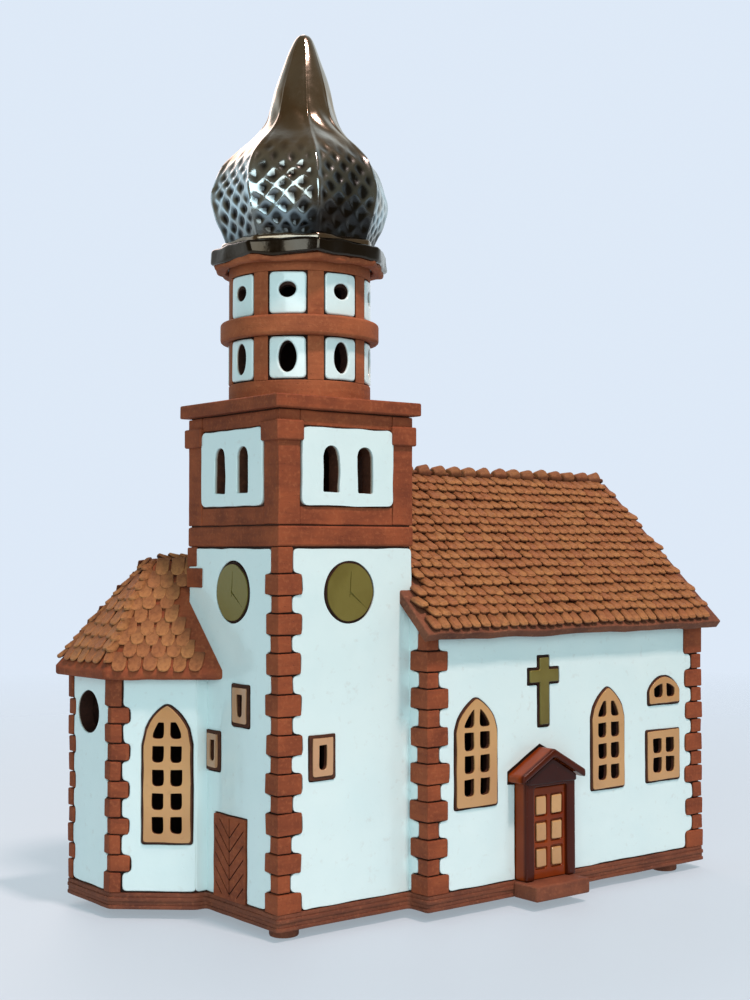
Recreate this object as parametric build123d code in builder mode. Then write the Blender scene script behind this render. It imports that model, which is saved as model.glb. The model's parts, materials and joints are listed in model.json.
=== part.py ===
from build123d import *

import os
from collections import namedtuple
from math import acos, atan, ceil, cos, degrees, radians, sin, tan

os.makedirs("parts", exist_ok=True)

# Clay slabs, feet and floor
wall = 4.5
foot_r = 4.5
foot_h = 3.0
foot_inset = 6.0
plinth_h = 5.0
plinth_margin = 1.5
groove_h = 0.6
groove_depth = 0.5
groove_count = 3

# Plan, from the tower's front left corner: X along the nave, Y to the rear
tower_side = 50.0
nave_length = 128.5
nave_step = 9.0
choir_bay = 34.0
apse_start = 39.5
apse_stub = 4.5
apse_reach = 24.5
apse_end_length = 27.2

# Nave roof
nave_wall_h = 82.6
roof_pitch = 42.5
roof_slab = 3.2
eave = 6.0
verge = 6.5
tower_verge = 4.5
roof_joint = 0.15
hip_joint = 0.4
tile_thick = 0.6
tile_gap = 0.05
tile_setback = 1.6
tile_round = 0.4
nave_tile_w = 6.2
nave_tile_e = 4.5
ridge_tile_w = 4.0
ridge_tile_t = 1.3
ridge_tile_len = 6.2

# Choir roof
choir_wall_h = 66.8
choir_eave = 4.5
choir_fascia = 3.0
choir_rise = 35.0
choir_hip_run = 19.5
choir_slab = 3.5
choir_tile_w = 5.6
choir_tile_e = 4.6
choir_edge = 3.0

# Tower shaft and belfry
shaft_h = 108.5
passage_w = 20.0
passage_h = 50.0
passage_rise = 10.0
band_h = 6.2
band_overhang = 1.0
flue_r = 10.0
belfry_h = 35.1
belfry_window_w = 6.2
belfry_window_h = 14.2
belfry_window_sill = 10.3
belfry_window_gap = 13.0
capital_reach = 8.0
capital_proud = 1.8
capital_h = 6.0
capital_sill = 25.6
cap_slab_h = 4.2
cap_slab_overhang = 2.9

# Drum with two tiers of windows
drum_r = 21.9
drum_wall = 3.5
drum_bays = 8
drum_foot_h = 5.6
drum_tier_h = 13.8
drum_band_h = 6.2
drum_band_proud = 3.5
drum_head_h = 4.8
drum_rail_proud = 0.8
drum_panel_w = 12.4
drum_hole_w = 5.8
drum_hole_low_h = 9.9
drum_hole_high_h = 5.0

# Onion dome
skirt_r = 29.0
skirt_top_r = 25.4
skirt_edge_h = 2.2
skirt_h = 5.0
dome_sides = 8
dome_shell = 3.0
dome_foot_r = 24.9
dome_belly_r = 28.4
dome_belly_z = 11.5
dome_flank_r = 24.8
dome_flank_z = 23.8
dome_shoulder_r = 15.2
dome_shoulder_z = 37.4
dome_neck_r = 8.6
dome_neck_z = 50.0
dome_tip_r = 0.9
dome_h = 71.1

# Corner quoins
quoin_proud = 1.1
quoin_long = 7.6
quoin_short = 4.0
quoin_long_h = 6.0
quoin_short_h = 5.0
quoin_joint = 0.2

# Window frames, which stand on the wall over an opening
frame_proud = 1.4
frame_w = 2.3
bar_w = 1.9
seat_lap = 1.2
Window = namedtuple("Window", "along sill width height rise columns rows")
left_window_w = 18.0
right_window_w = 16.5
lunette_w = 19.4
square_window_w = 17.6
square_window_shift = -0.7
front_left_margin = 10.4
front_right_margin = 9.6
door_gap_share = 0.194
right_window_gap_share = 0.378
choir_window = Window(17.5, 15.4, 15.8, 43.6, 12.9, 2, 5)
tower_front_window = Window(15.2, 38.2, 9.6, 13.6, 0.0, 1, 1)
tower_upper_window = Window(30.3, 53.4, 9.6, 12.9, 0.0, 1, 1)
tower_lower_window = Window(14.8, 38.5, 8.0, 12.4, 0.0, 1, 1)
slit_frame_w = 3.1
oculus_along = 11.6
oculus_sill = 55.3
oculus_r = 6.6

# Main door porch, side door, clocks and cross
porch_w = 22.6
door_w = 15.0
door_h = 30.0
canopy_over_door = 12.5
porch_depth = 6.0
leaf_thick = 3.0
leaf_pane_w = 3.6
leaf_pane_h = 6.6
leaf_pane_depth = 0.8
leaf_pane_columns = 2
leaf_pane_rows = 3
leaf_pane_pitch_x = 6.0
leaf_pane_pitch_z = 9.0
canopy_w = 28.8
canopy_depth = 8.0
canopy_rise = 8.0
canopy_slab = 2.4
step_shift = -1.0
step_w = 24.2
step_depth = 12.5
side_door_along = 24.7
side_door_w = 17.8
side_door_h = 25.4
side_door_proud = 1.2
clock_along = 25.6
clock_drop = 14.1
clock_r = 9.3
clock_proud = 1.2
hand_w = 0.7
hand_depth = 0.5
hour_hand = 5.0
hour_angle = -30.0
minute_hand = 7.0
cross_shift = 1.8
cross_sill = 49.0
cross_h = 23.2
cross_w = 14.3
cross_bar = 5.2
cross_arm_sill = 14.0
cross_proud = 1.2

# Tealight and the arch behind it
arch_w = 46.0
arch_h = 44.0
arch_rise = 23.0
arch_along = 66.0
tealight_r = 19.0
tealight_h = 15.0
tealight_foil = 0.5
tealight_lift = 0.2
wax_r_gap = 0.1
wax_h = 11.0
tab_r = 6.5
tab_t = 0.4
tab_collar_r = 1.6
tab_collar_h = 2.0
wick_r = 0.8
wick_h = 7.0

# The tower's front left corner, set so that the whole object is centred on the origin
reach_left = apse_reach + choir_eave
reach_right = tower_side + nave_length + verge
reach_front = nave_step + step_depth
reach_rear = tower_side + choir_bay + nave_step + eave
tower_x = (reach_left - reach_right) / 2
tower_y = (reach_front - reach_rear) / 2

# Levels and lines that several pieces share
floor_z = foot_h + plinth_h
shaft_top = floor_z + shaft_h
band_top = shaft_top + band_h
belfry_top = band_top + belfry_h
cap_top = belfry_top + cap_slab_h
drum_h = drum_foot_h + 2 * drum_tier_h + drum_band_h + drum_head_h
drum_top = cap_top + drum_h
tower_right = tower_x + tower_side
tower_rear = tower_y + tower_side
tower_mid_x = tower_x + tower_side / 2
tower_mid_y = tower_y + tower_side / 2
nave_right = tower_right + nave_length
nave_front = tower_y - nave_step
choir_rear = tower_rear + choir_bay
nave_rear = choir_rear + nave_step
ridge_y = (nave_front + nave_rear) / 2
slope = radians(roof_pitch)
tile_h = tile_thick * (2 + nave_tile_w * tile_round / nave_tile_e)

# Front of the nave: windows and door keep their widths and share out the spare wall between them
front_ends = front_left_margin + front_right_margin
front_spare = nave_length - front_ends - left_window_w - canopy_w - right_window_w - lunette_w
left_window_along = front_left_margin + left_window_w / 2
porch_along = front_left_margin + left_window_w + front_spare * door_gap_share + canopy_w / 2
right_window_start = porch_along + canopy_w / 2 + front_spare * right_window_gap_share
right_window_along = right_window_start + right_window_w / 2
lunette_along = nave_length - front_right_margin - lunette_w / 2
square_window_along = lunette_along + square_window_shift
cross_along = porch_along + cross_shift
step_along = porch_along + step_shift
canopy_h = door_h + canopy_over_door
clock_sill = shaft_h - clock_drop
nave_left_window = Window(left_window_along, 25.4, left_window_w, 35.0, 10.0, 2, 4)
nave_right_window = Window(right_window_along, 25.4, right_window_w, 35.0, 10.5, 2, 4)
lunette_window = Window(lunette_along, 52.5, lunette_w, 10.2, 9.7, 2, 1)
square_window = Window(square_window_along, 25.5, square_window_w, 18.2, 0.0, 2, 2)


def wall_face(start, end):
    """Outer face of a wall from start to end, left to right as seen from outside."""
    run = Vector(end[0] - start[0], end[1] - start[1], 0)
    return Plane(origin=(start[0], start[1], floor_z), x_dir=run, z_dir=(run.Y, -run.X, 0))


def spot(face, along, up):
    """The plane of a face with its origin moved along and up."""
    return Plane(face.location * Location((along, up, 0)))


def arch(plane, width, height, rise):
    """Outline of an opening that stands on a plane's local X axis, its head round or pointed."""
    half = width / 2
    spring = height - rise
    with BuildSketch(plane) as outline:
        with BuildLine():
            Polyline((-half, spring), (-half, 0), (half, 0), (half, spring))
            if rise > half:
                radius = (half**2 + rise**2) / width
                sweep = acos((radius - half) / radius) / 2
                shoulder_x = half - radius + radius * cos(sweep)
                shoulder_y = spring + radius * sin(sweep)
                ThreePointArc((half, spring), (shoulder_x, shoulder_y), (0, height))
                ThreePointArc((0, height), (-shoulder_x, shoulder_y), (-half, spring))
            elif rise > 0:
                ThreePointArc((half, spring), (0, height), (-half, spring))
            else:
                Line((half, spring), (-half, spring))
        make_face()
    return outline.sketch


def inner_arch(plane, window, border):
    """Outline of a window drawn in by a border on every side."""
    inside_h = window.height - 2 * border
    return arch(plane, window.width - 2 * border, inside_h, window.rise * inside_h / window.height)


def cut_window(face, window):
    """Opening through a wall behind a window frame."""
    sill = spot(face, window.along, window.sill + seat_lap)
    extrude(inner_arch(sill, window, seat_lap), amount=-wall, mode=Mode.SUBTRACT)


def window_frame(face, window, border):
    """Frame of a window with its bars, standing on the wall's face."""
    inside_w = window.width - 2 * border
    inside_h = window.height - 2 * border
    foot = spot(face, window.along, window.sill)
    extrude(arch(foot, window.width, window.height, window.rise), amount=frame_proud)
    with BuildSketch(spot(face, window.along, window.sill + border)) as panes:
        add(inner_arch(Plane.XY, window, border))
        for column in range(1, window.columns):
            with Locations((inside_w * (column / window.columns - 0.5), inside_h / 2)):
                Rectangle(bar_w, inside_h, mode=Mode.SUBTRACT)
        for row in range(1, window.rows):
            with Locations((0, inside_h * row / window.rows)):
                Rectangle(inside_w, bar_w, mode=Mode.SUBTRACT)
    extrude(panes.sketch, amount=frame_proud, mode=Mode.SUBTRACT)


def inward(corners, distance):
    """Corners of an open wall line, drawn in to its right hand side with mitred corners."""
    points = [Vector(x, y, 0) for x, y in corners]
    runs = [(b - a).normalized() for a, b in zip(points, points[1:])]
    sides = [Vector(run.Y, -run.X, 0) for run in runs]
    first = points[0] + sides[0] * distance
    last = points[-1] + sides[-1] * distance
    middle = []
    for point, one, other in zip(points[1:-1], sides, sides[1:]):
        middle.append(point + (one + other) * (distance / (1 + one.dot(other))))
    return [first, *middle, last]


def quoin_column(corner, before, after, bottom, top):
    """Long and short blocks that wrap a corner, from one level to another."""
    point = Vector(*corner, 0)
    left = (point - Vector(*before, 0)).normalized()
    right = (Vector(*after, 0) - point).normalized()
    left_out = Vector(left.Y, -left.X, 0) * quoin_proud
    right_out = Vector(right.Y, -right.X, 0) * quoin_proud
    tip = point + (left_out + right_out) * (1 / (1 + left_out.dot(right_out) / quoin_proud**2))
    level = bottom
    is_long = True
    while level + quoin_short_h <= top:
        reach = quoin_long if is_long else quoin_short
        height = min(quoin_long_h if is_long else quoin_short_h, top - level)
        start = point - left * reach
        finish = point + right * reach
        block = [start, start + left_out, tip, finish + right_out, finish, point]
        with BuildSketch(Plane.XY.offset(level)) as bed:
            with BuildLine():
                Polyline(*[(corner_point.X, corner_point.Y) for corner_point in block], close=True)
            make_face()
        extrude(bed.sketch, amount=height)
        level += height + quoin_joint
        is_long = not is_long


def tile_courses(face, width, length, tile_w, exposure):
    """Courses of round ended tiles on a roof face, from mid eave with local Y uphill."""
    tail = tile_w * tile_round
    tilt = degrees(atan(tile_thick / exposure))
    seat_h = tile_thick * (1 + tail / exposure)
    columns = ceil(width / tile_w) + 1
    courses = int((length - tile_setback - tail) / exposure)
    for parity in (0, 1):
        left = -columns * tile_w / 2 + parity * tile_w / 2
        right = left + columns * tile_w
        lays = []
        for course in range(parity, courses, 2):
            butt = Location((0, tile_setback + course * exposure, seat_h), (-tilt, 0, 0))
            lays.append(Plane(face.location * butt))
        with BuildSketch(*lays) as combs:
            with BuildLine():
                for column in range(columns):
                    edge = left + column * tile_w
                    ThreePointArc((edge, tail), (edge + tile_w / 2, 0), (edge + tile_w, tail))
                Polyline((right, tail), (right, exposure + tail), (left, exposure + tail), (left, tail))
            make_face()
        extrude(combs.sketch, amount=tile_thick - tile_gap)


def clear_block(overhang, bottom, top):
    """Room for a square block of the tower in a piece that leans on it."""
    side = tower_side + 2 * (overhang + roof_joint)
    with Locations((tower_mid_x, tower_mid_y, (bottom + top) / 2)):
        Box(side, side, top - bottom + 2 * roof_joint, mode=Mode.SUBTRACT)


def clear_tower():
    """Room for the tower and its band in a roof that leans on them."""
    clear_block(0, floor_z, cap_top)
    clear_block(band_overhang, shaft_top, band_top)


# Plan points of the walls, seen from outside each run goes left to right
tower_corner = (tower_x, tower_y)
tower_front_right = (tower_right, tower_y)
tower_rear_left = (tower_x, tower_rear)
nave_front_left = (tower_right, nave_front)
nave_front_right = (nave_right, nave_front)
nave_rear_right = (nave_right, nave_rear)
nave_rear_left = (tower_right, nave_rear)
choir_rear_right = (tower_right, choir_rear)
apse_rear = (tower_x - apse_reach, choir_rear)
apse_corner = (tower_x - apse_reach, choir_rear - apse_end_length)
apse_shoulder = (tower_x - apse_stub, tower_y + apse_start)
apse_root = (tower_x, tower_y + apse_start)

tower_front_face = wall_face(tower_corner, tower_front_right)
tower_left_face = wall_face(tower_rear_left, tower_corner)
tower_rear_face = wall_face((tower_right, tower_rear), tower_rear_left)
tower_right_face = wall_face(tower_front_right, (tower_right, tower_rear))
nave_front_face = wall_face(nave_front_left, nave_front_right)
nave_end_face = wall_face(nave_front_right, nave_rear_right)
nave_rear_face = wall_face(nave_rear_right, nave_rear_left)
nave_left_face = wall_face(nave_rear_left, (tower_right, tower_rear))
choir_rear_face = wall_face(choir_rear_right, apse_rear)
apse_end_face = wall_face(apse_rear, apse_corner)
apse_diagonal_face = wall_face(apse_corner, apse_shoulder)

# Planes of the nave roof slabs, whose normals point up and out
nave_under_front = Plane(
    origin=(0, nave_front, floor_z + nave_wall_h), x_dir=(1, 0, 0), z_dir=(0, -sin(slope), cos(slope))
)
nave_under_rear = Plane(
    origin=(0, nave_rear, floor_z + nave_wall_h), x_dir=(-1, 0, 0), z_dir=(0, sin(slope), cos(slope))
)
eave_z = floor_z + nave_wall_h - eave * tan(slope) + roof_slab / cos(slope)
ridge_top = eave_z + (ridge_y - nave_front + eave) * tan(slope)
slope_length = (ridge_y - nave_front + eave) / cos(slope)

# Planes of the choir roof: each holds its eave line and the end of the ridge
choir_eave_z = floor_z + choir_wall_h + choir_fascia
choir_ridge_y = tower_rear + choir_bay / 2
choir_apex = Vector(tower_x - apse_reach + choir_hip_run, choir_ridge_y, choir_eave_z + choir_rise)


def choir_plane(face):
    """Roof plane over a choir wall: local X along the eave, local Y uphill, Z outward."""
    mid_eave = face.origin + face.z_dir * choir_eave
    low = Vector(mid_eave.X, mid_eave.Y, choir_eave_z)
    uphill = choir_apex - low
    normal = face.x_dir.cross(uphill)
    return Plane(origin=low, x_dir=face.x_dir, z_dir=normal)


def plane_height(plane, x, y):
    """Level of a roof plane over a point of the plan."""
    normal = plane.z_dir
    return plane.origin.Z - (normal.X * (x - plane.origin.X) + normal.Y * (y - plane.origin.Y)) / normal.Z


choir_end_plane = choir_plane(apse_end_face)
choir_diagonal_plane = choir_plane(apse_diagonal_face)
choir_rear_plane = choir_plane(choir_rear_face)
choir_valley_z = plane_height(choir_diagonal_plane, tower_x, tower_rear)
choir_valley = choir_apex - Vector(tower_x, tower_rear, choir_valley_z)
choir_front_plane = Plane(
    origin=choir_apex, x_dir=(1, 0, 0), z_dir=(0, -choir_valley.Z, choir_valley.Y)
)
choir_planes = [choir_end_plane, choir_diagonal_plane, choir_rear_plane, choir_front_plane]

# Feet: small discs under the corners of the floor slab
foot_spots = [
    (tower_x + foot_inset, tower_y + foot_inset),
    (nave_right - 2 * foot_inset, nave_front + foot_inset),
    (nave_right - 2 * foot_inset, nave_rear - foot_inset),
    (tower_x, choir_rear - foot_inset),
]
with BuildPart() as feet:
    with BuildSketch():
        with Locations(*foot_spots):
            Circle(foot_r)
    extrude(amount=foot_h)
feet.part.label = "feet"
export_step(feet.part, "parts/feet.step")

# Floor slab in the shape of the whole plan, with grooves round its edge
outline = [
    tower_corner, tower_front_right, nave_front_left, nave_front_right, nave_rear_right,
    nave_rear_left, choir_rear_right, apse_rear, apse_corner, apse_shoulder, apse_root,
]
rim_h = (plinth_h - groove_count * groove_h) / (groove_count + 1)
with BuildPart() as floor_slab:
    level = foot_h
    for layer in range(2 * groove_count + 1):
        is_groove = layer % 2 == 1
        with BuildSketch(Plane.XY.offset(level)):
            with BuildLine():
                Polyline(*outline, close=True)
            make_face()
            offset(amount=plinth_margin - (groove_depth if is_groove else 0), kind=Kind.INTERSECTION)
        layer_h = groove_h if is_groove else rim_h
        extrude(amount=layer_h)
        level += layer_h
floor_slab.part.label = "floor_slab"
export_step(floor_slab.part, "parts/floor_slab.step")

# Tower shaft: four slabs, the front and rear ones full width
with BuildPart() as tower_front_wall:
    with BuildSketch(spot(tower_front_face, tower_side / 2, shaft_h / 2)):
        Rectangle(tower_side, shaft_h)
    extrude(amount=-wall)
    cut_window(tower_front_face, tower_front_window)
tower_front_wall.part.label = "tower_front_wall"
export_step(tower_front_wall.part, "parts/tower_front_wall.step")

with BuildPart() as tower_rear_wall:
    with BuildSketch(spot(tower_rear_face, tower_side / 2, shaft_h / 2)):
        Rectangle(tower_side, shaft_h)
    extrude(amount=-wall)
    rear_passage = arch(spot(tower_rear_face, tower_side / 2, 0), passage_w, passage_h, passage_rise)
    extrude(rear_passage, amount=-wall, mode=Mode.SUBTRACT)
tower_rear_wall.part.label = "tower_rear_wall"
export_step(tower_rear_wall.part, "parts/tower_rear_wall.step")

with BuildPart() as tower_left_wall:
    with BuildSketch(spot(tower_left_face, tower_side / 2, shaft_h / 2)):
        Rectangle(tower_side - 2 * wall, shaft_h)
    extrude(amount=-wall)
    cut_window(tower_left_face, tower_upper_window)
    cut_window(tower_left_face, tower_lower_window)
tower_left_wall.part.label = "tower_left_wall"
export_step(tower_left_wall.part, "parts/tower_left_wall.step")

with BuildPart() as tower_right_wall:
    with BuildSketch(spot(tower_right_face, tower_side / 2, shaft_h / 2)):
        Rectangle(tower_side - 2 * wall, shaft_h)
    extrude(amount=-wall)
    right_passage = arch(spot(tower_right_face, tower_side / 2, 0), passage_w, passage_h, passage_rise)
    extrude(right_passage, amount=-wall, mode=Mode.SUBTRACT)
tower_right_wall.part.label = "tower_right_wall"
export_step(tower_right_wall.part, "parts/tower_right_wall.step")

# Nave walls, whose tops are bevelled to the underside of the roof slabs
gable_h = ridge_top - floor_z
with BuildPart() as nave_front_wall:
    with BuildSketch(spot(nave_front_face, nave_length / 2, gable_h / 2)):
        Rectangle(nave_length, gable_h)
    extrude(amount=-wall)
    split(bisect_by=nave_under_front, keep=Keep.BOTTOM)
    for window in (nave_left_window, nave_right_window, lunette_window, square_window):
        cut_window(nave_front_face, window)
nave_front_wall.part.label = "nave_front_wall"
export_step(nave_front_wall.part, "parts/nave_front_wall.step")

with BuildPart() as nave_rear_wall:
    with BuildSketch(spot(nave_rear_face, nave_length / 2, gable_h / 2)):
        Rectangle(nave_length, gable_h)
    extrude(amount=-wall)
    split(bisect_by=nave_under_rear, keep=Keep.BOTTOM)
    rear_arch = arch(spot(nave_rear_face, arch_along, 0), arch_w, arch_h, arch_rise)
    extrude(rear_arch, amount=-wall, mode=Mode.SUBTRACT)
nave_rear_wall.part.label = "nave_rear_wall"
export_step(nave_rear_wall.part, "parts/nave_rear_wall.step")

nave_depth = nave_rear - nave_front
with BuildPart() as nave_end_wall:
    with BuildSketch(spot(nave_end_face, nave_depth / 2, gable_h / 2)):
        Rectangle(nave_depth - 2 * wall, gable_h)
    extrude(amount=-wall)
    split(bisect_by=nave_under_front, keep=Keep.BOTTOM)
    split(bisect_by=nave_under_rear, keep=Keep.BOTTOM)
nave_end_wall.part.label = "nave_end_wall"
export_step(nave_end_wall.part, "parts/nave_end_wall.step")

# Strip that closes the nave against the tower's front corner
with BuildPart() as nave_front_return:
    with BuildSketch(Plane.XY.offset(floor_z)):
        with BuildLine():
            Polyline(
                (tower_right, nave_front + wall),
                (tower_right + wall, nave_front + wall),
                (tower_right + wall, tower_y + wall),
                (tower_right, tower_y + wall),
                close=True,
            )
        make_face()
    extrude(amount=gable_h)
    split(bisect_by=nave_under_front, keep=Keep.BOTTOM)
nave_front_return.part.label = "nave_front_return"
export_step(nave_front_return.part, "parts/nave_front_return.step")

# Nave gable behind the tower, with a passage into the choir
with BuildPart() as nave_left_gable:
    with BuildSketch(Plane.XY.offset(floor_z)):
        with BuildLine():
            Polyline(
                (tower_right, tower_rear - wall),
                (tower_right + wall, tower_rear - wall),
                (tower_right + wall, nave_rear - wall),
                (tower_right, nave_rear - wall),
                close=True,
            )
        make_face()
    extrude(amount=gable_h)
    split(bisect_by=nave_under_front, keep=Keep.BOTTOM)
    split(bisect_by=nave_under_rear, keep=Keep.BOTTOM)
    choir_passage_spot = spot(nave_left_face, nave_rear - choir_ridge_y, 0)
    choir_passage = arch(choir_passage_spot, passage_w, passage_h, passage_rise)
    extrude(choir_passage, amount=-wall, mode=Mode.SUBTRACT)
    clear_block(band_overhang, shaft_top, band_top)
nave_left_gable.part.label = "nave_left_gable"
export_step(nave_left_gable.part, "parts/nave_left_gable.step")

# Choir walls, mitred at their corners and bevelled to the underside of their roof
choir_line = [apse_root, apse_shoulder, apse_corner, apse_rear, choir_rear_right]
choir_inside = inward(choir_line, wall)


def choir_slab_wall(run):
    """Wall slab over one run of the choir's plan, trimmed to the roof."""
    outer_start, outer_end = choir_line[run], choir_line[run + 1]
    inner_start, inner_end = choir_inside[run], choir_inside[run + 1]
    with BuildSketch(Plane.XY.offset(floor_z)) as bed:
        with BuildLine():
            Polyline(
                outer_start,
                outer_end,
                (inner_end.X, inner_end.Y),
                (inner_start.X, inner_start.Y),
                close=True,
            )
        make_face()
    extrude(bed.sketch, amount=choir_wall_h + choir_fascia + choir_rise)
    for plane in choir_planes:
        split(bisect_by=plane.offset(-choir_slab), keep=Keep.BOTTOM)


with BuildPart() as choir_stub_wall:
    choir_slab_wall(0)
choir_stub_wall.part.label = "choir_stub_wall"
export_step(choir_stub_wall.part, "parts/choir_stub_wall.step")

with BuildPart() as choir_diagonal_wall:
    choir_slab_wall(1)
    cut_window(apse_diagonal_face, choir_window)
choir_diagonal_wall.part.label = "choir_diagonal_wall"
export_step(choir_diagonal_wall.part, "parts/choir_diagonal_wall.step")

with BuildPart() as choir_end_wall:
    choir_slab_wall(2)
    with BuildSketch(spot(apse_end_face, oculus_along, oculus_sill)):
        Circle(oculus_r)
    extrude(amount=-wall, mode=Mode.SUBTRACT)
choir_end_wall.part.label = "choir_end_wall"
export_step(choir_end_wall.part, "parts/choir_end_wall.step")

with BuildPart() as choir_rear_wall:
    choir_slab_wall(3)
choir_rear_wall.part.label = "choir_rear_wall"
export_step(choir_rear_wall.part, "parts/choir_rear_wall.step")

# Nave roof slabs: eaves cut square, mitred upright at the ridge
eave_y = nave_front - eave
roof_profile = [
    (eave_y, eave_z),
    (ridge_y, ridge_top),
    (ridge_y, ridge_top - roof_slab / cos(slope)),
    (eave_y + roof_slab * sin(slope), eave_z - roof_slab * cos(slope)),
]
roof_start = tower_right - tower_verge
roof_length = nave_right + verge - roof_start
roof_section = Plane(origin=(roof_start, 0, 0), x_dir=(0, 1, 0), z_dir=(1, 0, 0))
with BuildPart() as nave_roof_front:
    with BuildSketch(roof_section):
        with BuildLine():
            Polyline(*roof_profile, close=True)
        make_face()
    extrude(amount=roof_length)
    clear_tower()
nave_roof_front.part.label = "nave_roof_front"
export_step(nave_roof_front.part, "parts/nave_roof_front.step")

with BuildPart() as nave_roof_rear:
    with BuildSketch(roof_section):
        with BuildLine():
            Polyline(*[(2 * ridge_y - y, z) for y, z in roof_profile], close=True)
        make_face()
    extrude(amount=roof_length)
    clear_tower()
nave_roof_rear.part.label = "nave_roof_rear"
export_step(nave_roof_rear.part, "parts/nave_roof_rear.step")

# Tiles of the nave: scalloped courses that lap up the slopes, trimmed at the verges
roof_mid = roof_start + roof_length / 2
front_slope = Plane(origin=(roof_mid, eave_y, eave_z), x_dir=(1, 0, 0), z_dir=nave_under_front.z_dir)
rear_slope = Plane(
    origin=(roof_mid, nave_rear + eave, eave_z), x_dir=(-1, 0, 0), z_dir=nave_under_rear.z_dir
)
verge_left = Plane(origin=(roof_start + tile_setback, 0, 0), x_dir=(0, 1, 0), z_dir=(-1, 0, 0))
verge_right = Plane(
    origin=(roof_start + roof_length - tile_setback, 0, 0), x_dir=(0, 1, 0), z_dir=(1, 0, 0)
)
with BuildPart() as nave_front_tiles:
    tile_courses(front_slope, roof_length, slope_length, nave_tile_w, nave_tile_e)
    split(bisect_by=verge_left, keep=Keep.BOTTOM)
    split(bisect_by=verge_right, keep=Keep.BOTTOM)
    clear_tower()
nave_front_tiles.part.label = "nave_front_tiles"
export_step(nave_front_tiles.part, "parts/nave_front_tiles.step")

with BuildPart() as nave_rear_tiles:
    tile_courses(rear_slope, roof_length, slope_length, nave_tile_w, nave_tile_e)
    split(bisect_by=verge_left, keep=Keep.BOTTOM)
    split(bisect_by=verge_right, keep=Keep.BOTTOM)
    clear_tower()
nave_rear_tiles.part.label = "nave_rear_tiles"
export_step(nave_rear_tiles.part, "parts/nave_rear_tiles.step")

# Ridge caps: bent tiles in a row along the ridge
cap_z = ridge_top + (tile_h + tile_gap) / cos(slope)
cap_foot_y = ridge_tile_w * cos(slope)
cap_foot_z = cap_z - ridge_tile_w * sin(slope)
cap_lift_y = ridge_tile_t * sin(slope)
cap_lift_z = ridge_tile_t * cos(slope)
cap_profile = [
    (-cap_foot_y, cap_foot_z),
    (0, cap_z),
    (cap_foot_y, cap_foot_z),
    (cap_foot_y + cap_lift_y, cap_foot_z + cap_lift_z),
    (0, cap_z + ridge_tile_t / cos(slope)),
    (-cap_foot_y - cap_lift_y, cap_foot_z + cap_lift_z),
]
cap_start = tower_right + roof_joint
cap_count = int((roof_start + roof_length - cap_start) / ridge_tile_len)
cap_sections = []
for cap in range(cap_count):
    cap_origin = (cap_start + cap * ridge_tile_len, ridge_y, 0)
    cap_sections.append(Plane(origin=cap_origin, x_dir=(0, 1, 0), z_dir=(1, 0, 0)))
with BuildPart() as ridge_tiles:
    with BuildSketch(*cap_sections):
        with BuildLine():
            Polyline(*cap_profile, close=True)
        make_face()
    extrude(amount=ridge_tile_len - tile_gap)
ridge_tiles.part.label = "ridge_tiles"
export_step(ridge_tiles.part, "parts/ridge_tiles.step")

# Choir roof: a hipped slab roof, open below, that leans on the tower and the nave
eave_points = inward([apse_shoulder, apse_corner, apse_rear, choir_rear_right], -choir_eave)
diagonal_run = eave_points[0] - eave_points[1]
diagonal_reach = (tower_x - eave_points[1].X) / diagonal_run.X
diagonal_foot = eave_points[1] + diagonal_run * diagonal_reach
choir_plan = [
    (diagonal_foot.X, diagonal_foot.Y),
    (eave_points[1].X, eave_points[1].Y),
    (eave_points[2].X, eave_points[2].Y),
    (tower_right, eave_points[2].Y),
    (tower_right, tower_rear),
    (tower_x, tower_rear),
]


def choir_roof_body(depth):
    """Body under the choir's roof planes, drawn in by a depth from each of them."""
    with BuildSketch(Plane.XY.offset(floor_z + choir_wall_h)) as cover:
        with BuildLine():
            Polyline(*choir_plan, close=True)
        make_face()
    extrude(cover.sketch, amount=choir_fascia + choir_rise)
    for plane in choir_planes:
        split(bisect_by=plane.offset(-depth), keep=Keep.BOTTOM)


with BuildPart() as choir_loft:
    choir_roof_body(choir_slab)

with BuildPart() as choir_roof:
    choir_roof_body(0)
    add(choir_loft.part, mode=Mode.SUBTRACT)
    clear_block(band_overhang, shaft_top, band_top)
choir_roof.part.label = "choir_roof"
export_step(choir_roof.part, "parts/choir_roof.step")


def hip_cut(corner, keep_side):
    """Upright plane beside the hip over an eave corner, whose normal points away from a side."""
    run = Vector(choir_apex.X - corner.X, choir_apex.Y - corner.Y, 0)
    away = (run.Y * keep_side, -run.X * keep_side, 0)
    return Plane(origin=(corner.X, corner.Y, 0), x_dir=run, z_dir=away).offset(-hip_joint)


def slope_face(plane, start, end):
    """Roof plane with its origin at the middle of an eave run."""
    mid = (start + end) * 0.5
    return Plane(origin=(mid.X, mid.Y, choir_eave_z), x_dir=plane.x_dir, z_dir=plane.z_dir)


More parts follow.
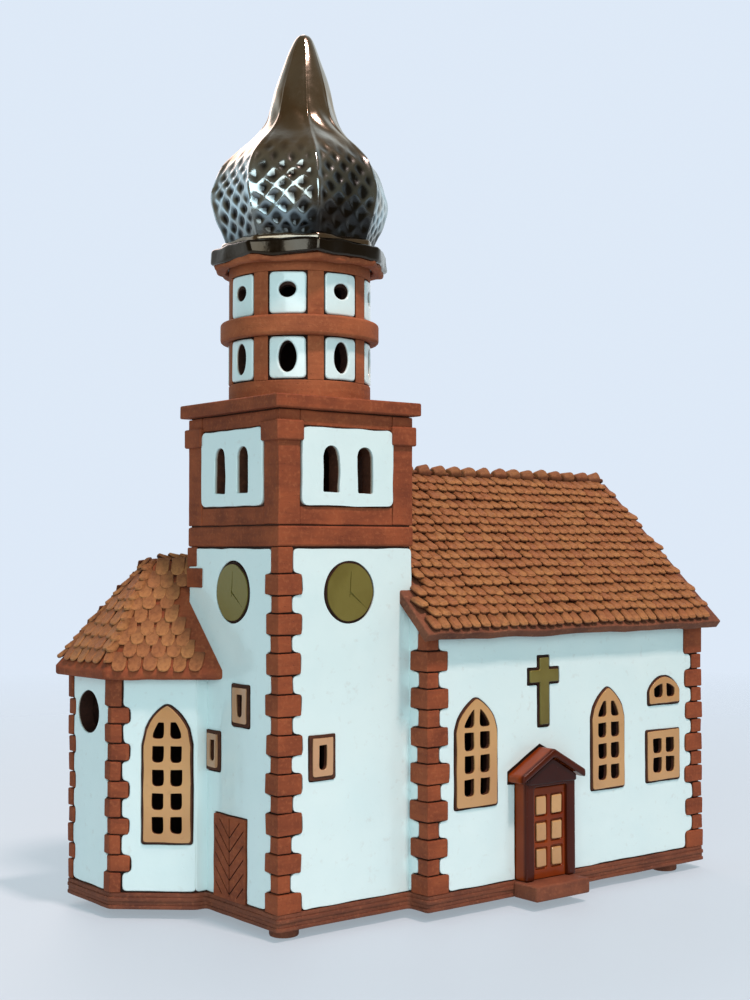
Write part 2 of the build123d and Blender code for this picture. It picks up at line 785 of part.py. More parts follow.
choir_slope = (choir_apex - choir_end_plane.origin).length
tower_side_cut = Plane(origin=(tower_x - choir_edge, 0, 0), x_dir=(0, 1, 0), z_dir=(1, 0, 0))
nave_side_cut = Plane(origin=(roof_start - roof_joint, 0, 0), x_dir=(0, 1, 0), z_dir=(1, 0, 0))
ridge_front_cut = Plane(origin=(0, choir_ridge_y - roof_joint, 0), x_dir=(1, 0, 0), z_dir=(0, 1, 0))
ridge_rear_cut = Plane(origin=(0, choir_ridge_y + roof_joint, 0), x_dir=(1, 0, 0), z_dir=(0, -1, 0))
with BuildPart() as choir_diagonal_tiles:
    tile_courses(
        slope_face(choir_diagonal_plane, eave_points[1], diagonal_foot),
        2 * diagonal_run.length * diagonal_reach,
        choir_slope,
        choir_tile_w,
        choir_tile_e,
    )
    split(bisect_by=hip_cut(eave_points[1], -1), keep=Keep.BOTTOM)
    split(bisect_by=tower_side_cut, keep=Keep.BOTTOM)
    split(bisect_by=ridge_front_cut, keep=Keep.BOTTOM)
    clear_block(band_overhang, shaft_top, band_top)
choir_diagonal_tiles.part.label = "choir_diagonal_tiles"
export_step(choir_diagonal_tiles.part, "parts/choir_diagonal_tiles.step")

with BuildPart() as choir_end_tiles:
    tile_courses(
        slope_face(choir_end_plane, eave_points[1], eave_points[2]),
        2 * (eave_points[2] - eave_points[1]).length,
        choir_slope,
        choir_tile_w,
        choir_tile_e,
    )
    split(bisect_by=hip_cut(eave_points[1], 1), keep=Keep.BOTTOM)
    split(bisect_by=hip_cut(eave_points[2], -1), keep=Keep.BOTTOM)
choir_end_tiles.part.label = "choir_end_tiles"
export_step(choir_end_tiles.part, "parts/choir_end_tiles.step")

with BuildPart() as choir_rear_tiles:
    tile_courses(
        slope_face(choir_rear_plane, eave_points[2], eave_points[3]),
        (eave_points[3] - eave_points[2]).length,
        choir_slope,
        choir_tile_w,
        choir_tile_e,
    )
    split(bisect_by=hip_cut(eave_points[2], 1), keep=Keep.BOTTOM)
    split(bisect_by=nave_side_cut, keep=Keep.BOTTOM)
    split(bisect_by=ridge_rear_cut, keep=Keep.BOTTOM)
    clear_block(band_overhang, shaft_top, band_top)
choir_rear_tiles.part.label = "choir_rear_tiles"
export_step(choir_rear_tiles.part, "parts/choir_rear_tiles.step")

# Belfry: band slab, four walls with paired windows, corner capitals and cap slab
with BuildPart() as belfry_band:
    with BuildSketch(Plane.XY.offset(shaft_top)):
        with Locations((tower_mid_x, tower_mid_y)):
            Rectangle(tower_side + 2 * band_overhang, tower_side + 2 * band_overhang)
            Circle(flue_r, mode=Mode.SUBTRACT)
    extrude(amount=band_h)
belfry_band.part.label = "belfry_band"
export_step(belfry_band.part, "parts/belfry_band.step")


def belfry_wall(face, width):
    """Belfry wall on a tower face, with two round headed windows."""
    lift = band_top - floor_z
    with BuildSketch(spot(face, tower_side / 2, lift + belfry_h / 2)) as slab:
        Rectangle(width, belfry_h)
    extrude(slab.sketch, amount=-wall)
    for side in (-1, 1):
        sill = spot(face, tower_side / 2 + side * belfry_window_gap / 2, lift + belfry_window_sill)
        light = arch(sill, belfry_window_w, belfry_window_h, belfry_window_w / 2)
        extrude(light, amount=-wall, mode=Mode.SUBTRACT)


with BuildPart() as belfry_front_wall:
    belfry_wall(tower_front_face, tower_side)
belfry_front_wall.part.label = "belfry_front_wall"
export_step(belfry_front_wall.part, "parts/belfry_front_wall.step")

with BuildPart() as belfry_left_wall:
    belfry_wall(tower_left_face, tower_side - 2 * wall)
belfry_left_wall.part.label = "belfry_left_wall"
export_step(belfry_left_wall.part, "parts/belfry_left_wall.step")

with BuildPart() as belfry_rear_wall:
    belfry_wall(tower_rear_face, tower_side)
belfry_rear_wall.part.label = "belfry_rear_wall"
export_step(belfry_rear_wall.part, "parts/belfry_rear_wall.step")

with BuildPart() as belfry_right_wall:
    belfry_wall(tower_right_face, tower_side - 2 * wall)
belfry_right_wall.part.label = "belfry_right_wall"
export_step(belfry_right_wall.part, "parts/belfry_right_wall.step")

with BuildPart() as belfry_capitals:
    capital_side = capital_reach + capital_proud
    capital_offset = tower_side / 2 + capital_proud - capital_side / 2
    with BuildSketch(Plane.XY.offset(band_top + capital_sill)):
        with Locations((tower_mid_x, tower_mid_y)):
            with GridLocations(2 * capital_offset, 2 * capital_offset, 2, 2):
                Rectangle(capital_side, capital_side)
            Rectangle(tower_side, tower_side, mode=Mode.SUBTRACT)
    extrude(amount=capital_h)
belfry_capitals.part.label = "belfry_capitals"
export_step(belfry_capitals.part, "parts/belfry_capitals.step")

with BuildPart() as belfry_cap_slab:
    with BuildSketch(Plane.XY.offset(belfry_top)):
        with Locations((tower_mid_x, tower_mid_y)):
            Rectangle(tower_side + 2 * cap_slab_overhang, tower_side + 2 * cap_slab_overhang)
            Circle(flue_r, mode=Mode.SUBTRACT)
    extrude(amount=cap_slab_h)
belfry_cap_slab.part.label = "belfry_cap_slab"
export_step(belfry_cap_slab.part, "parts/belfry_cap_slab.step")

# Drum: a tube with two tiers of holes, dressed with rings and posts
low_tier_z = cap_top + drum_foot_h
drum_band_z = low_tier_z + drum_tier_h
high_tier_z = drum_band_z + drum_band_h
drum_head_z = high_tier_z + drum_tier_h


def drum_ring(level, height, proud):
    """Ring round the drum from a level up."""
    with BuildSketch(Plane.XY.offset(level)) as ring:
        with Locations((tower_mid_x, tower_mid_y)):
            Circle(drum_r + proud)
            Circle(drum_r, mode=Mode.SUBTRACT)
    extrude(ring.sketch, amount=height)


with BuildPart() as drum_shell:
    with BuildSketch(Plane.XY.offset(cap_top)):
        with Locations((tower_mid_x, tower_mid_y)):
            Circle(drum_r)
            Circle(drum_r - drum_wall, mode=Mode.SUBTRACT)
    extrude(amount=drum_h)
    for tier_z, hole_h in ((low_tier_z, drum_hole_low_h), (high_tier_z, drum_hole_high_h)):
        hole_planes = []
        for bay in range(drum_bays):
            out = Vector(1, 0, 0).rotate(Axis.Z, bay * 360 / drum_bays)
            hole_origin = (tower_mid_x, tower_mid_y, tier_z + drum_tier_h / 2)
            hole_planes.append(Plane(origin=hole_origin, x_dir=(-out.Y, out.X, 0), z_dir=out))
        with BuildSketch(*hole_planes):
            Ellipse(drum_hole_w / 2, hole_h / 2)
        extrude(amount=drum_r, mode=Mode.SUBTRACT)
drum_shell.part.label = "drum_shell"
export_step(drum_shell.part, "parts/drum_shell.step")

with BuildPart() as drum_foot_ring:
    drum_ring(cap_top, drum_foot_h, drum_rail_proud)
drum_foot_ring.part.label = "drum_foot_ring"
export_step(drum_foot_ring.part, "parts/drum_foot_ring.step")

with BuildPart() as drum_band:
    drum_ring(drum_band_z, drum_band_h, drum_band_proud)
drum_band.part.label = "drum_band"
export_step(drum_band.part, "parts/drum_band.step")

with BuildPart() as drum_head_ring:
    drum_ring(drum_head_z, drum_head_h, drum_rail_proud)
drum_head_ring.part.label = "drum_head_ring"
export_step(drum_head_ring.part, "parts/drum_head_ring.step")

with BuildPart() as drum_posts:
    for tier_z in (low_tier_z, high_tier_z):
        with BuildSketch(Plane.XY.offset(tier_z)):
            with Locations((tower_mid_x, tower_mid_y)):
                Circle(drum_r + drum_rail_proud)
                Circle(drum_r, mode=Mode.SUBTRACT)
                with PolarLocations(drum_r, drum_bays):
                    Rectangle(drum_r, drum_panel_w, mode=Mode.SUBTRACT)
        extrude(amount=drum_tier_h)
drum_posts.part.label = "drum_posts"
export_step(drum_posts.part, "parts/drum_posts.step")

# Onion dome on its eight sided skirt
dome_z = drum_top + skirt_h
dome_turn = 180 / dome_sides


def eight_sided(level, radius):
    """Section of the dome, with its corners over the drum's posts."""
    with BuildSketch(Plane.XY.offset(level)) as section:
        with Locations((tower_mid_x, tower_mid_y)):
            RegularPolygon(radius, dome_sides, rotation=dome_turn)
    return section.sketch


with BuildPart() as dome_skirt:
    extrude(eight_sided(drum_top, skirt_r), amount=skirt_edge_h)
    loft([eight_sided(drum_top + skirt_edge_h, skirt_r), eight_sided(dome_z, skirt_top_r)])
    with BuildSketch(Plane.XY.offset(drum_top)):
        with Locations((tower_mid_x, tower_mid_y)):
            Circle(drum_r - drum_wall)
    extrude(amount=skirt_h, mode=Mode.SUBTRACT)
dome_skirt.part.label = "dome_skirt"
export_step(dome_skirt.part, "parts/dome_skirt.step")

dome_profile = [
    (0, dome_foot_r),
    (dome_belly_z, dome_belly_r),
    (dome_flank_z, dome_flank_r),
    (dome_shoulder_z, dome_shoulder_r),
    (dome_neck_z, dome_neck_r),
    (dome_h, dome_tip_r),
]
with BuildPart() as dome_hollow:
    loft([eight_sided(dome_z + height, radius - dome_shell) for height, radius in dome_profile[:-1]])

with BuildPart() as onion_dome:
    loft([eight_sided(dome_z + height, radius) for height, radius in dome_profile])
    add(dome_hollow.part, mode=Mode.SUBTRACT)
onion_dome.part.label = "onion_dome"
export_step(onion_dome.part, "parts/onion_dome.step")

# Quoins on the corners of the nave, the tower and the choir
nave_quoin_top = floor_z + nave_wall_h - quoin_proud * tan(slope) - quoin_joint
choir_quoin_top = floor_z + choir_wall_h - quoin_joint
tower_quoin_top = shaft_top - quoin_joint
upper_quoin_z = plane_height(choir_front_plane, tower_x, tower_rear + quoin_proud) + quoin_joint
with BuildPart() as tower_quoins:
    quoin_column(tower_corner, tower_rear_left, tower_front_right, floor_z, tower_quoin_top)
    quoin_column(
        tower_rear_left, (tower_right, tower_rear), tower_corner, upper_quoin_z, tower_quoin_top
    )
tower_quoins.part.label = "tower_quoins"
export_step(tower_quoins.part, "parts/tower_quoins.step")

with BuildPart() as nave_quoins:
    quoin_column(nave_front_left, tower_front_right, nave_front_right, floor_z, nave_quoin_top)
    quoin_column(nave_front_right, nave_front_left, nave_rear_right, floor_z, nave_quoin_top)
    quoin_column(nave_rear_right, nave_front_right, nave_rear_left, floor_z, nave_quoin_top)
    quoin_column(nave_rear_left, nave_rear_right, choir_rear_right, floor_z, choir_quoin_top)
nave_quoins.part.label = "nave_quoins"
export_step(nave_quoins.part, "parts/nave_quoins.step")

with BuildPart() as choir_quoins:
    quoin_column(apse_corner, apse_rear, apse_shoulder, floor_z, choir_quoin_top)
    quoin_column(apse_rear, choir_rear_right, apse_corner, floor_z, choir_quoin_top)
choir_quoins.part.label = "choir_quoins"
export_step(choir_quoins.part, "parts/choir_quoins.step")

# Window frames
with BuildPart() as nave_window_left:
    window_frame(nave_front_face, nave_left_window, frame_w)
nave_window_left.part.label = "nave_window_left"
export_step(nave_window_left.part, "parts/nave_window_left.step")

with BuildPart() as nave_window_right:
    window_frame(nave_front_face, nave_right_window, frame_w)
nave_window_right.part.label = "nave_window_right"
export_step(nave_window_right.part, "parts/nave_window_right.step")

with BuildPart() as nave_window_lunette:
    window_frame(nave_front_face, lunette_window, frame_w)
nave_window_lunette.part.label = "nave_window_lunette"
export_step(nave_window_lunette.part, "parts/nave_window_lunette.step")

with BuildPart() as nave_window_square:
    window_frame(nave_front_face, square_window, frame_w)
nave_window_square.part.label = "nave_window_square"
export_step(nave_window_square.part, "parts/nave_window_square.step")

with BuildPart() as choir_window_frame:
    window_frame(apse_diagonal_face, choir_window, frame_w)
choir_window_frame.part.label = "choir_window_frame"
export_step(choir_window_frame.part, "parts/choir_window_frame.step")

with BuildPart() as tower_window_front:
    window_frame(tower_front_face, tower_front_window, slit_frame_w)
tower_window_front.part.label = "tower_window_front"
export_step(tower_window_front.part, "parts/tower_window_front.step")

with BuildPart() as tower_windows_left:
    window_frame(tower_left_face, tower_upper_window, slit_frame_w)
    window_frame(tower_left_face, tower_lower_window, slit_frame_w)
tower_windows_left.part.label = "tower_windows_left"
export_step(tower_windows_left.part, "parts/tower_windows_left.step")

# Main door: porch frame with a gable, leaf with six panes, canopy and step
canopy_tilt = atan(2 * canopy_rise / canopy_w)
canopy_drop = canopy_slab / cos(canopy_tilt)
porch_shoulder = canopy_h - canopy_drop - porch_w / 2 * tan(canopy_tilt)
porch_face = spot(nave_front_face, porch_along, 0)
with BuildPart() as porch_frame:
    with BuildSketch(porch_face):
        with BuildLine():
            Polyline(
                (-porch_w / 2, 0),
                (porch_w / 2, 0),
                (porch_w / 2, porch_shoulder),
                (0, canopy_h - canopy_drop),
                (-porch_w / 2, porch_shoulder),
                close=True,
            )
        make_face()
        with Locations((0, door_h / 2)):
            Rectangle(door_w, door_h, mode=Mode.SUBTRACT)
    extrude(amount=porch_depth)
porch_frame.part.label = "porch_frame"
export_step(porch_frame.part, "parts/porch_frame.step")

with BuildPart() as main_door:
    with BuildSketch(porch_face):
        with Locations((0, door_h / 2)):
            Rectangle(door_w, door_h)
    extrude(amount=leaf_thick)
    with BuildSketch(porch_face.offset(leaf_thick)):
        with Locations((0, door_h / 2)):
            with GridLocations(leaf_pane_pitch_x, leaf_pane_pitch_z, leaf_pane_columns, leaf_pane_rows):
                Rectangle(leaf_pane_w, leaf_pane_h)
    extrude(amount=-leaf_pane_depth, mode=Mode.SUBTRACT)
main_door.part.label = "main_door"
export_step(main_door.part, "parts/main_door.step")

with BuildPart() as door_canopy:
    with BuildSketch(porch_face):
        with BuildLine():
            Polyline(
                (-canopy_w / 2, canopy_h - canopy_rise),
                (0, canopy_h),
                (canopy_w / 2, canopy_h - canopy_rise),
                (canopy_w / 2, canopy_h - canopy_rise - canopy_drop),
                (0, canopy_h - canopy_drop),
                (-canopy_w / 2, canopy_h - canopy_rise - canopy_drop),
                close=True,
            )
        make_face()
    extrude(amount=canopy_depth)
door_canopy.part.label = "door_canopy"
export_step(door_canopy.part, "parts/door_canopy.step")

with BuildPart() as door_step:
    with BuildSketch(spot(nave_front_face, step_along, -plinth_h / 2).offset(plinth_margin)):
        Rectangle(step_w, plinth_h)
    extrude(amount=step_depth - plinth_margin)
door_step.part.label = "door_step"
export_step(door_step.part, "parts/door_step.step")

# Side door on the tower's left wall
with BuildPart() as side_door:
    side_door_face = spot(tower_left_face, side_door_along, 0)
    with BuildSketch(side_door_face):
        with Locations((0, side_door_h / 2)):
            Rectangle(side_door_w, side_door_h)
    extrude(amount=side_door_proud)
side_door.part.label = "side_door"
export_step(side_door.part, "parts/side_door.step")


def clock(face):
    """Clock disc on a tower face, with an upright hand and one at four o'clock cut into it."""
    clock_face = spot(face, clock_along, clock_sill)
    with BuildSketch(clock_face) as disc:
        Circle(clock_r)
    extrude(disc.sketch, amount=clock_proud)
    with BuildSketch(clock_face.offset(clock_proud)) as hands:
        with Locations((0, minute_hand / 2)):
            Rectangle(hand_w, minute_hand)
        with PolarLocations(hour_hand / 2, 1, start_angle=hour_angle):
            Rectangle(hour_hand, hand_w)
    extrude(hands.sketch, amount=-hand_depth, mode=Mode.SUBTRACT)


with BuildPart() as clock_front:
    clock(tower_front_face)
clock_front.part.label = "clock_front"
export_step(clock_front.part, "parts/clock_front.step")

with BuildPart() as clock_left:
    clock(tower_left_face)
clock_left.part.label = "clock_left"
export_step(clock_left.part, "parts/clock_left.step")

with BuildPart() as wall_cross:
    with BuildSketch(spot(nave_front_face, cross_along, cross_sill)):
        with Locations((0, cross_h / 2)):
            Rectangle(cross_bar, cross_h)
        with Locations((0, cross_arm_sill + cross_bar / 2)):
            Rectangle(cross_w, cross_bar)
    extrude(amount=cross_proud)
wall_cross.part.label = "wall_cross"
export_step(wall_cross.part, "parts/wall_cross.step")

# Tealight: foil cup, wax, wick tab with its collar, and wick
tealight_x = nave_right - arch_along
tealight_z = floor_z + tealight_lift
wax_z = tealight_z + tealight_foil
wax_r = tealight_r - tealight_foil - wax_r_gap
tealight_base = Plane(origin=(tealight_x, ridge_y, tealight_z))
wax_base = Plane(origin=(tealight_x, ridge_y, wax_z))
with BuildPart() as tealight_cup:
    with BuildSketch(tealight_base):
        Circle(tealight_r)
    extrude(amount=tealight_h)
    with BuildSketch(wax_base):
        Circle(tealight_r - tealight_foil)
    extrude(amount=tealight_h, mode=Mode.SUBTRACT)
tealight_cup.part.label = "tealight_cup"
export_step(tealight_cup.part, "parts/tealight_cup.step")

with BuildPart() as wick_tab:
    with BuildSketch(wax_base):
        Circle(tab_r)
    extrude(amount=tab_t)
    with BuildSketch(wax_base):
        Circle(tab_collar_r)
    extrude(amount=tab_collar_h)
    with BuildSketch(wax_base.offset(tab_t)):
        Circle(wick_r)
    extrude(amount=tab_collar_h, mode=Mode.SUBTRACT)
wick_tab.part.label = "wick_tab"
export_step(wick_tab.part, "parts/wick_tab.step")

with BuildPart() as tealight_wax:
    with BuildSketch(wax_base):
        Circle(wax_r)
    extrude(amount=wax_h)
    with BuildSketch(wax_base):
        Circle(tab_r)
    extrude(amount=tab_t, mode=Mode.SUBTRACT)
    with BuildSketch(wax_base):
        Circle(tab_collar_r)
    extrude(amount=tab_collar_h, mode=Mode.SUBTRACT)
    with BuildSketch(wax_base):
        Circle(wick_r)
    extrude(amount=wax_h, mode=Mode.SUBTRACT)
tealight_wax.part.label = "tealight_wax"
export_step(tealight_wax.part, "parts/tealight_wax.step")

with BuildPart() as wick:
    with BuildSketch(wax_base.offset(tab_t)):
        Circle(wick_r)
    extrude(amount=wax_h - tab_t + wick_h)
wick.part.label = "wick"
export_step(wick.part, "parts/wick.step")
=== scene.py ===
"""Looks of a hand built ceramic village church: clay, glazes, roof tiles, onion dome and tealight."""

from __future__ import annotations

import json
import logging
import math
import random
from collections import defaultdict
from dataclasses import dataclass, field
from enum import Enum
from itertools import chain
from typing import Any, Callable, Iterable, Optional, Sequence, Union

import bpy
from mathutils import Matrix, Vector, noise

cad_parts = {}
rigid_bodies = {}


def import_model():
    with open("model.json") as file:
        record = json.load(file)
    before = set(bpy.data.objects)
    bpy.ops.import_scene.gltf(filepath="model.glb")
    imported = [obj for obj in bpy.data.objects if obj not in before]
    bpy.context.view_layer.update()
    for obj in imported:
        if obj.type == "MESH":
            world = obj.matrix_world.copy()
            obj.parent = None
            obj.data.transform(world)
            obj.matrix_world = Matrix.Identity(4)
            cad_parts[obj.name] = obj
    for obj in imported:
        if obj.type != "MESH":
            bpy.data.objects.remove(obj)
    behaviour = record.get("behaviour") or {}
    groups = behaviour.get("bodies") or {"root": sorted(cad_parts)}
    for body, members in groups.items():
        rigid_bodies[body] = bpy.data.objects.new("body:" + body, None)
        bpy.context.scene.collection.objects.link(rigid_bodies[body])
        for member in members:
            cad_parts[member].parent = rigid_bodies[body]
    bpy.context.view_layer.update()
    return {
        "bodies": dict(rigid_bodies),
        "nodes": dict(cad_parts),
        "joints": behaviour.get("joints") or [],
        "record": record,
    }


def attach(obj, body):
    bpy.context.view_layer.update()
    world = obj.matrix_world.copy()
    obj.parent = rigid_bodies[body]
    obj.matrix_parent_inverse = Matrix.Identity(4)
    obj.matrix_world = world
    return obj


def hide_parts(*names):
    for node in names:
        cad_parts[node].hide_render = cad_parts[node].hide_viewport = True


LOG = logging.getLogger("village_house")
MM = 0.001
HAND_SEED = 7
HERE = Matrix.Identity(4)
ALONG_X = Vector((1.0, 0.0, 0.0))
ALONG_Y = Vector((0.0, 1.0, 0.0))
UPRIGHT = Vector((0.0, 0.0, 1.0))
EVERY_WAY = Vector((1.0, 1.0, 1.0))
Point = tuple[float, float]
Colour = tuple[float, float, float]
Piece = bpy.types.Object


class Body(Enum):
    """Rigid bodies of the frame."""

    HOUSE = "house"
    TEALIGHT = "tealight"


class Slot(Enum):
    """Material slots of the record."""

    TERRACOTTA = "terracotta"
    WHITE = "white_glaze"
    TILE = "roof_tile"
    DOME = "dome_glaze"
    TAN = "tan_glaze"
    BROWN = "brown_glaze"
    GOLD = "gold_glaze"
    FOIL = "foil"
    WAX = "wax"
    WICK = "wick"


class Reach(Enum):
    """How the quoins of a corner alternate along its two walls."""

    TOGETHER = "long on both walls, then short on both"
    IN_TURN = "long on one wall while short on the other"


def clamp(value: float) -> float:
    """Keep a share between 0 and 1."""
    return min(1.0, max(0.0, value))


def linear(colour: Colour) -> tuple[float, float, float, float]:
    """Turn a colour as seen on a screen into light values with full alpha."""
    parts = [c / 12.92 if c <= 0.04045 else ((c + 0.055) / 1.055) ** 2.4 for c in colour]
    return (parts[0], parts[1], parts[2], 1.0)


def axes(first: Vector, second: Vector, third: Vector, spot: Vector) -> Matrix:
    """Frame with given directions.

    Args:
        first: direction of its X.
        second: direction of its Y.
        third: direction of its Z.
        spot: its origin.
    Returns:
        The frame.
    """
    matrix = Matrix.Identity(4)
    for index, column in enumerate((first, second, third)):
        matrix.col[index].xyz = column
    matrix.translation = spot
    return matrix


class Signal:
    """A socket of a node tree, with arithmetic that adds Math nodes."""

    def __init__(self, nodes: Nodes, socket: bpy.types.NodeSocket) -> None:
        """Keep the socket and the tree that it belongs to."""
        self.nodes = nodes
        self.socket = socket

    def _math(self, operation: str, first: Value, second: Value) -> Signal:
        """Add one Math node over two values."""
        return self.nodes.node("ShaderNodeMath", {"operation": operation}, {0: first, 1: second})

    def __add__(self, other: Value) -> Signal:
        """Sum with a value on either side."""
        return self._math("ADD", self, other)

    def __mul__(self, other: Value) -> Signal:
        """Product with a value on either side."""
        return self._math("MULTIPLY", self, other)

    def __sub__(self, other: Value) -> Signal:
        """Difference from a value."""
        return self._math("SUBTRACT", self, other)

    def __rsub__(self, other: Value) -> Signal:
        """Difference of a value on the left."""
        return self._math("SUBTRACT", other, self)

    __radd__ = __add__
    __rmul__ = __mul__


Value = Union[Signal, float, Colour, tuple[float, float, float, float]]
Settings = Optional[dict[str, Any]]
Inputs = Optional[dict[Union[int, str], Value]]


class Nodes:
    """A node tree that is written as expressions."""

    def __init__(self, owner: bpy.types.Material | bpy.types.World) -> None:
        """Start an empty tree.

        Args:
            owner: the material or world.
        """
        owner.use_nodes = True
        self.tree = owner.node_tree
        self.tree.nodes.clear()

    def feed(self, socket: bpy.types.NodeSocket, value: Value) -> None:
        """Link a signal to a socket, or set the socket to a plain value.

        Args:
            socket: the socket.
            value: a signal or a plain value.
        """
        if isinstance(value, Signal):
            self.tree.links.new(value.socket, socket)
        else:
            socket.default_value = value

    def add(self, kind: str, settings: Settings = None, inputs: Inputs = None) -> bpy.types.Node:
        """Add a node.

        Args:
            kind: type name of the node.
            settings: properties to set first; "stops" sets the stops of a ramp.
            inputs: values or links of its sockets.
        Returns:
            The node.
        """
        made = self.tree.nodes.new(kind)
        for key, value in (settings or {}).items():
            if key != "stops":
                setattr(made, key, value)
                continue
            elements = made.color_ramp.elements
            while len(elements) < len(value):
                elements.new(1.0)
            for element, (position, colour) in zip(elements, value):
                element.position = position
                element.color = colour
        for key, value in (inputs or {}).items():
            self.feed(made.inputs[key], value)
        return made

    def node(
        self, kind: str, settings: Settings = None, inputs: Inputs = None, output: int | str = 0
    ) -> Signal:
        """Add a node and hand back one of its outputs."""
        return Signal(self, self.add(kind, settings, inputs).outputs[output])


class Paint(Nodes):
    """A finish in the making: a Principled shader and the nodes that feed it."""

    def __init__(self, name: str) -> None:
        """Start an empty finish.

        Args:
            name: name of its material.
        """
        self.material = bpy.data.materials.new(name)
        super().__init__(self.material)
        self.shader = self.add("ShaderNodeBsdfPrincipled")
        self.add("ShaderNodeOutputMaterial", inputs={"Surface": Signal(self, self.shader.outputs["BSDF"])})
        self.place = self.node("ShaderNodeTexCoord", output="Object")

    def noise(self, scale: float, detail: float = 3.0, stretch: Colour | None = None) -> Signal:
        """Cloudy noise over the piece.

        Args:
            scale: cells to the metre.
            detail: octaves.
            stretch: scale of the pattern on each axis.
        Returns:
            A value about 0.5.
        """
        turned = {"Vector": self.place, "Scale": stretch}
        place = self.node("ShaderNodeMapping", inputs=turned) if stretch else self.place
        return self.node("ShaderNodeTexNoise", inputs={"Vector": place, "Scale": scale, "Detail": detail})

    def cells(self, scale: float) -> Signal:
        """Distance to the nearest of scattered points, for pits and specks."""
        return self.node("ShaderNodeTexVoronoi", {"feature": "F1"}, {"Vector": self.place, "Scale": scale})

    def attribute(self, name: str) -> Signal:
        """A value painted on the points of the mesh."""
        return self.node("ShaderNodeAttribute", {"attribute_name": name}, output="Fac")

    def ramp(self, value: Signal, *stops: Point) -> Signal:
        """Bend a value through stops of position and brightness."""
        listed = [(position, (level, level, level, 1.0)) for position, level in stops]
        return self.node("ShaderNodeValToRGB", {"stops": listed}, {"Fac": value})

    def blend(self, factor: Value, first: Value, second: Value) -> Signal:
        """Mix two linear colours by the share of the second."""
        settings = {"data_type": "RGBA", "blend_type": "MIX"}
        return self.node("ShaderNodeMix", settings, {0: factor, 6: first, 7: second}, output=2)

    def bump(self, height: Signal, distance: float) -> Signal:
        """Surface normal from a height times a distance in metres."""
        return self.node("ShaderNodeBump", inputs={"Height": height, "Distance": distance, "Strength": 1.0})

    def finish(self, **sockets: Value) -> bpy.types.Material:
        """Set or link the shader's sockets.

        Args:
            sockets: values by socket name, with _ for a blank.
        Returns:
            The finished material.
        """
        for key, value in sockets.items():
            self.feed(self.shader.inputs[key.replace("_", " ")], value)
        return self.material


@dataclass(frozen=True)
class ClayFinish:
    """Fired red clay with a matt skin, pits and rubbed lighter patches, and painted shade where a piece
    marks it.
    """

    name: str
    body: Colour
    burnt: Colour
    rubbed: Colour
    shade_and_dark_colour: Colour = (0.17, 0.085, 0.06)
    roughness: float = 0.72
    grain: float = 0.00022

    def make(self) -> bpy.types.Material:
        """Build the material.

        Returns:
            The material.
        """
        paint = Paint(self.name)
        clouds = paint.noise(95.0, 4.0)
        fine = paint.noise(900.0, 5.0)
        drag = paint.noise(260.0, 3.0, (0.35, 0.35, 2.4))
        specks = paint.ramp(paint.cells(620.0), (0.0, 1.0), (0.16, 0.0))
        tone = paint.ramp(clouds * 0.7 + drag * 0.3, (0.34, 0.0), (0.68, 1.0))
        colour = paint.blend(tone, linear(self.burnt), linear(self.body))
        colour = paint.blend(paint.ramp(fine, (0.52, 0.0), (0.78, 0.55)), colour, linear(self.rubbed))
        colour = paint.blend(specks * 0.35, colour, linear(self.burnt))
        # painted shade: each point's marked share turns towards a dark colour; clay pieces mark it in scored
        # lines and under the eave
        colour = paint.blend(paint.attribute("soot"), colour, linear(self.shade_and_dark_colour))
        height = fine * 0.5 + drag * 0.7 - specks * 0.6
        return paint.finish(
            Base_Color=colour,
            Roughness=self.roughness + (fine - 0.5) * 0.25,
            Normal=paint.bump(height, self.grain),
            Specular_IOR_Level=0.22,
        )


@dataclass(frozen=True)
class TileFinish:
    """Clay of the roof tiles: every tile its own tone, with painted shade where one slips under the next and
    on the lower half of each tile's thickness.
    """

    name: str = "tile_clay"
    body: Colour = (0.675, 0.468, 0.277)
    warm: Colour = (0.605, 0.375, 0.23)
    burnt: Colour = (0.31, 0.145, 0.09)

    def make(self) -> bpy.types.Material:
        """Build the material.

        Returns:
            The material.
        """
        paint = Paint(self.name)
        tone = paint.attribute("tone")
        depth = paint.attribute("depth")
        fine = paint.noise(760.0, 5.0)
        clouds = paint.noise(120.0, 3.0)
        colour = paint.blend(tone * 0.65 + clouds * 0.35, linear(self.warm), linear(self.body))
        worn = paint.ramp(fine, (0.34, 0.35), (0.56, 0.0))
        colour = paint.blend(worn, colour, linear(self.burnt))
        # painted shade: the tiles' marked share darkens them towards the burnt colour
        colour = paint.blend(depth, colour, linear(self.burnt))
        return paint.finish(
            Base_Color=colour,
            Roughness=0.62 + (fine - 0.5) * 0.3,
            Normal=paint.bump(fine + clouds * 0.6, 0.00025),
            Specular_IOR_Level=0.25,
        )


@dataclass(frozen=True)
class GlazeFinish:
    """Thick glossy glaze: a pooled colour that thins and browns at its rim."""

    name: str
    pooled: Colour
    thin: Colour
    rim: Colour
    roughness: float = 0.13
    wave: float = 0.0009
    mottle: float = 0.35
    coat: float = 0.5
    shine: float = 0.5

    def make(self) -> bpy.types.Material:
        """Build the material.

        Returns:
            The material.
        """
        paint = Paint(self.name)
        edge = paint.attribute("edge")
        broad = paint.noise(42.0, 2.0)
        small = paint.noise(420.0, 3.0)
        pits = paint.ramp(paint.cells(240.0), (0.0, 1.0), (0.06, 0.0))
        thinned = paint.ramp(broad, (0.35, 0.0), (0.7, self.mottle))
        colour = paint.blend(thinned, linear(self.pooled), linear(self.thin))
        colour = paint.blend(paint.ramp(small, (0.62, 0.0), (0.86, 0.22)), colour, linear(self.rim))
        colour = paint.blend(paint.ramp(edge, (0.25, 0.0), (0.95, 0.9)), colour, linear(self.rim))
        height = broad + small * 0.05 - pits * 0.08
        return paint.finish(
            Base_Color=colour,
            Roughness=self.roughness + pits * 0.3,
            Normal=paint.bump(height, self.wave),
            Coat_Weight=self.coat,
            Coat_Roughness=0.04,
            Specular_IOR_Level=self.shine,
        )


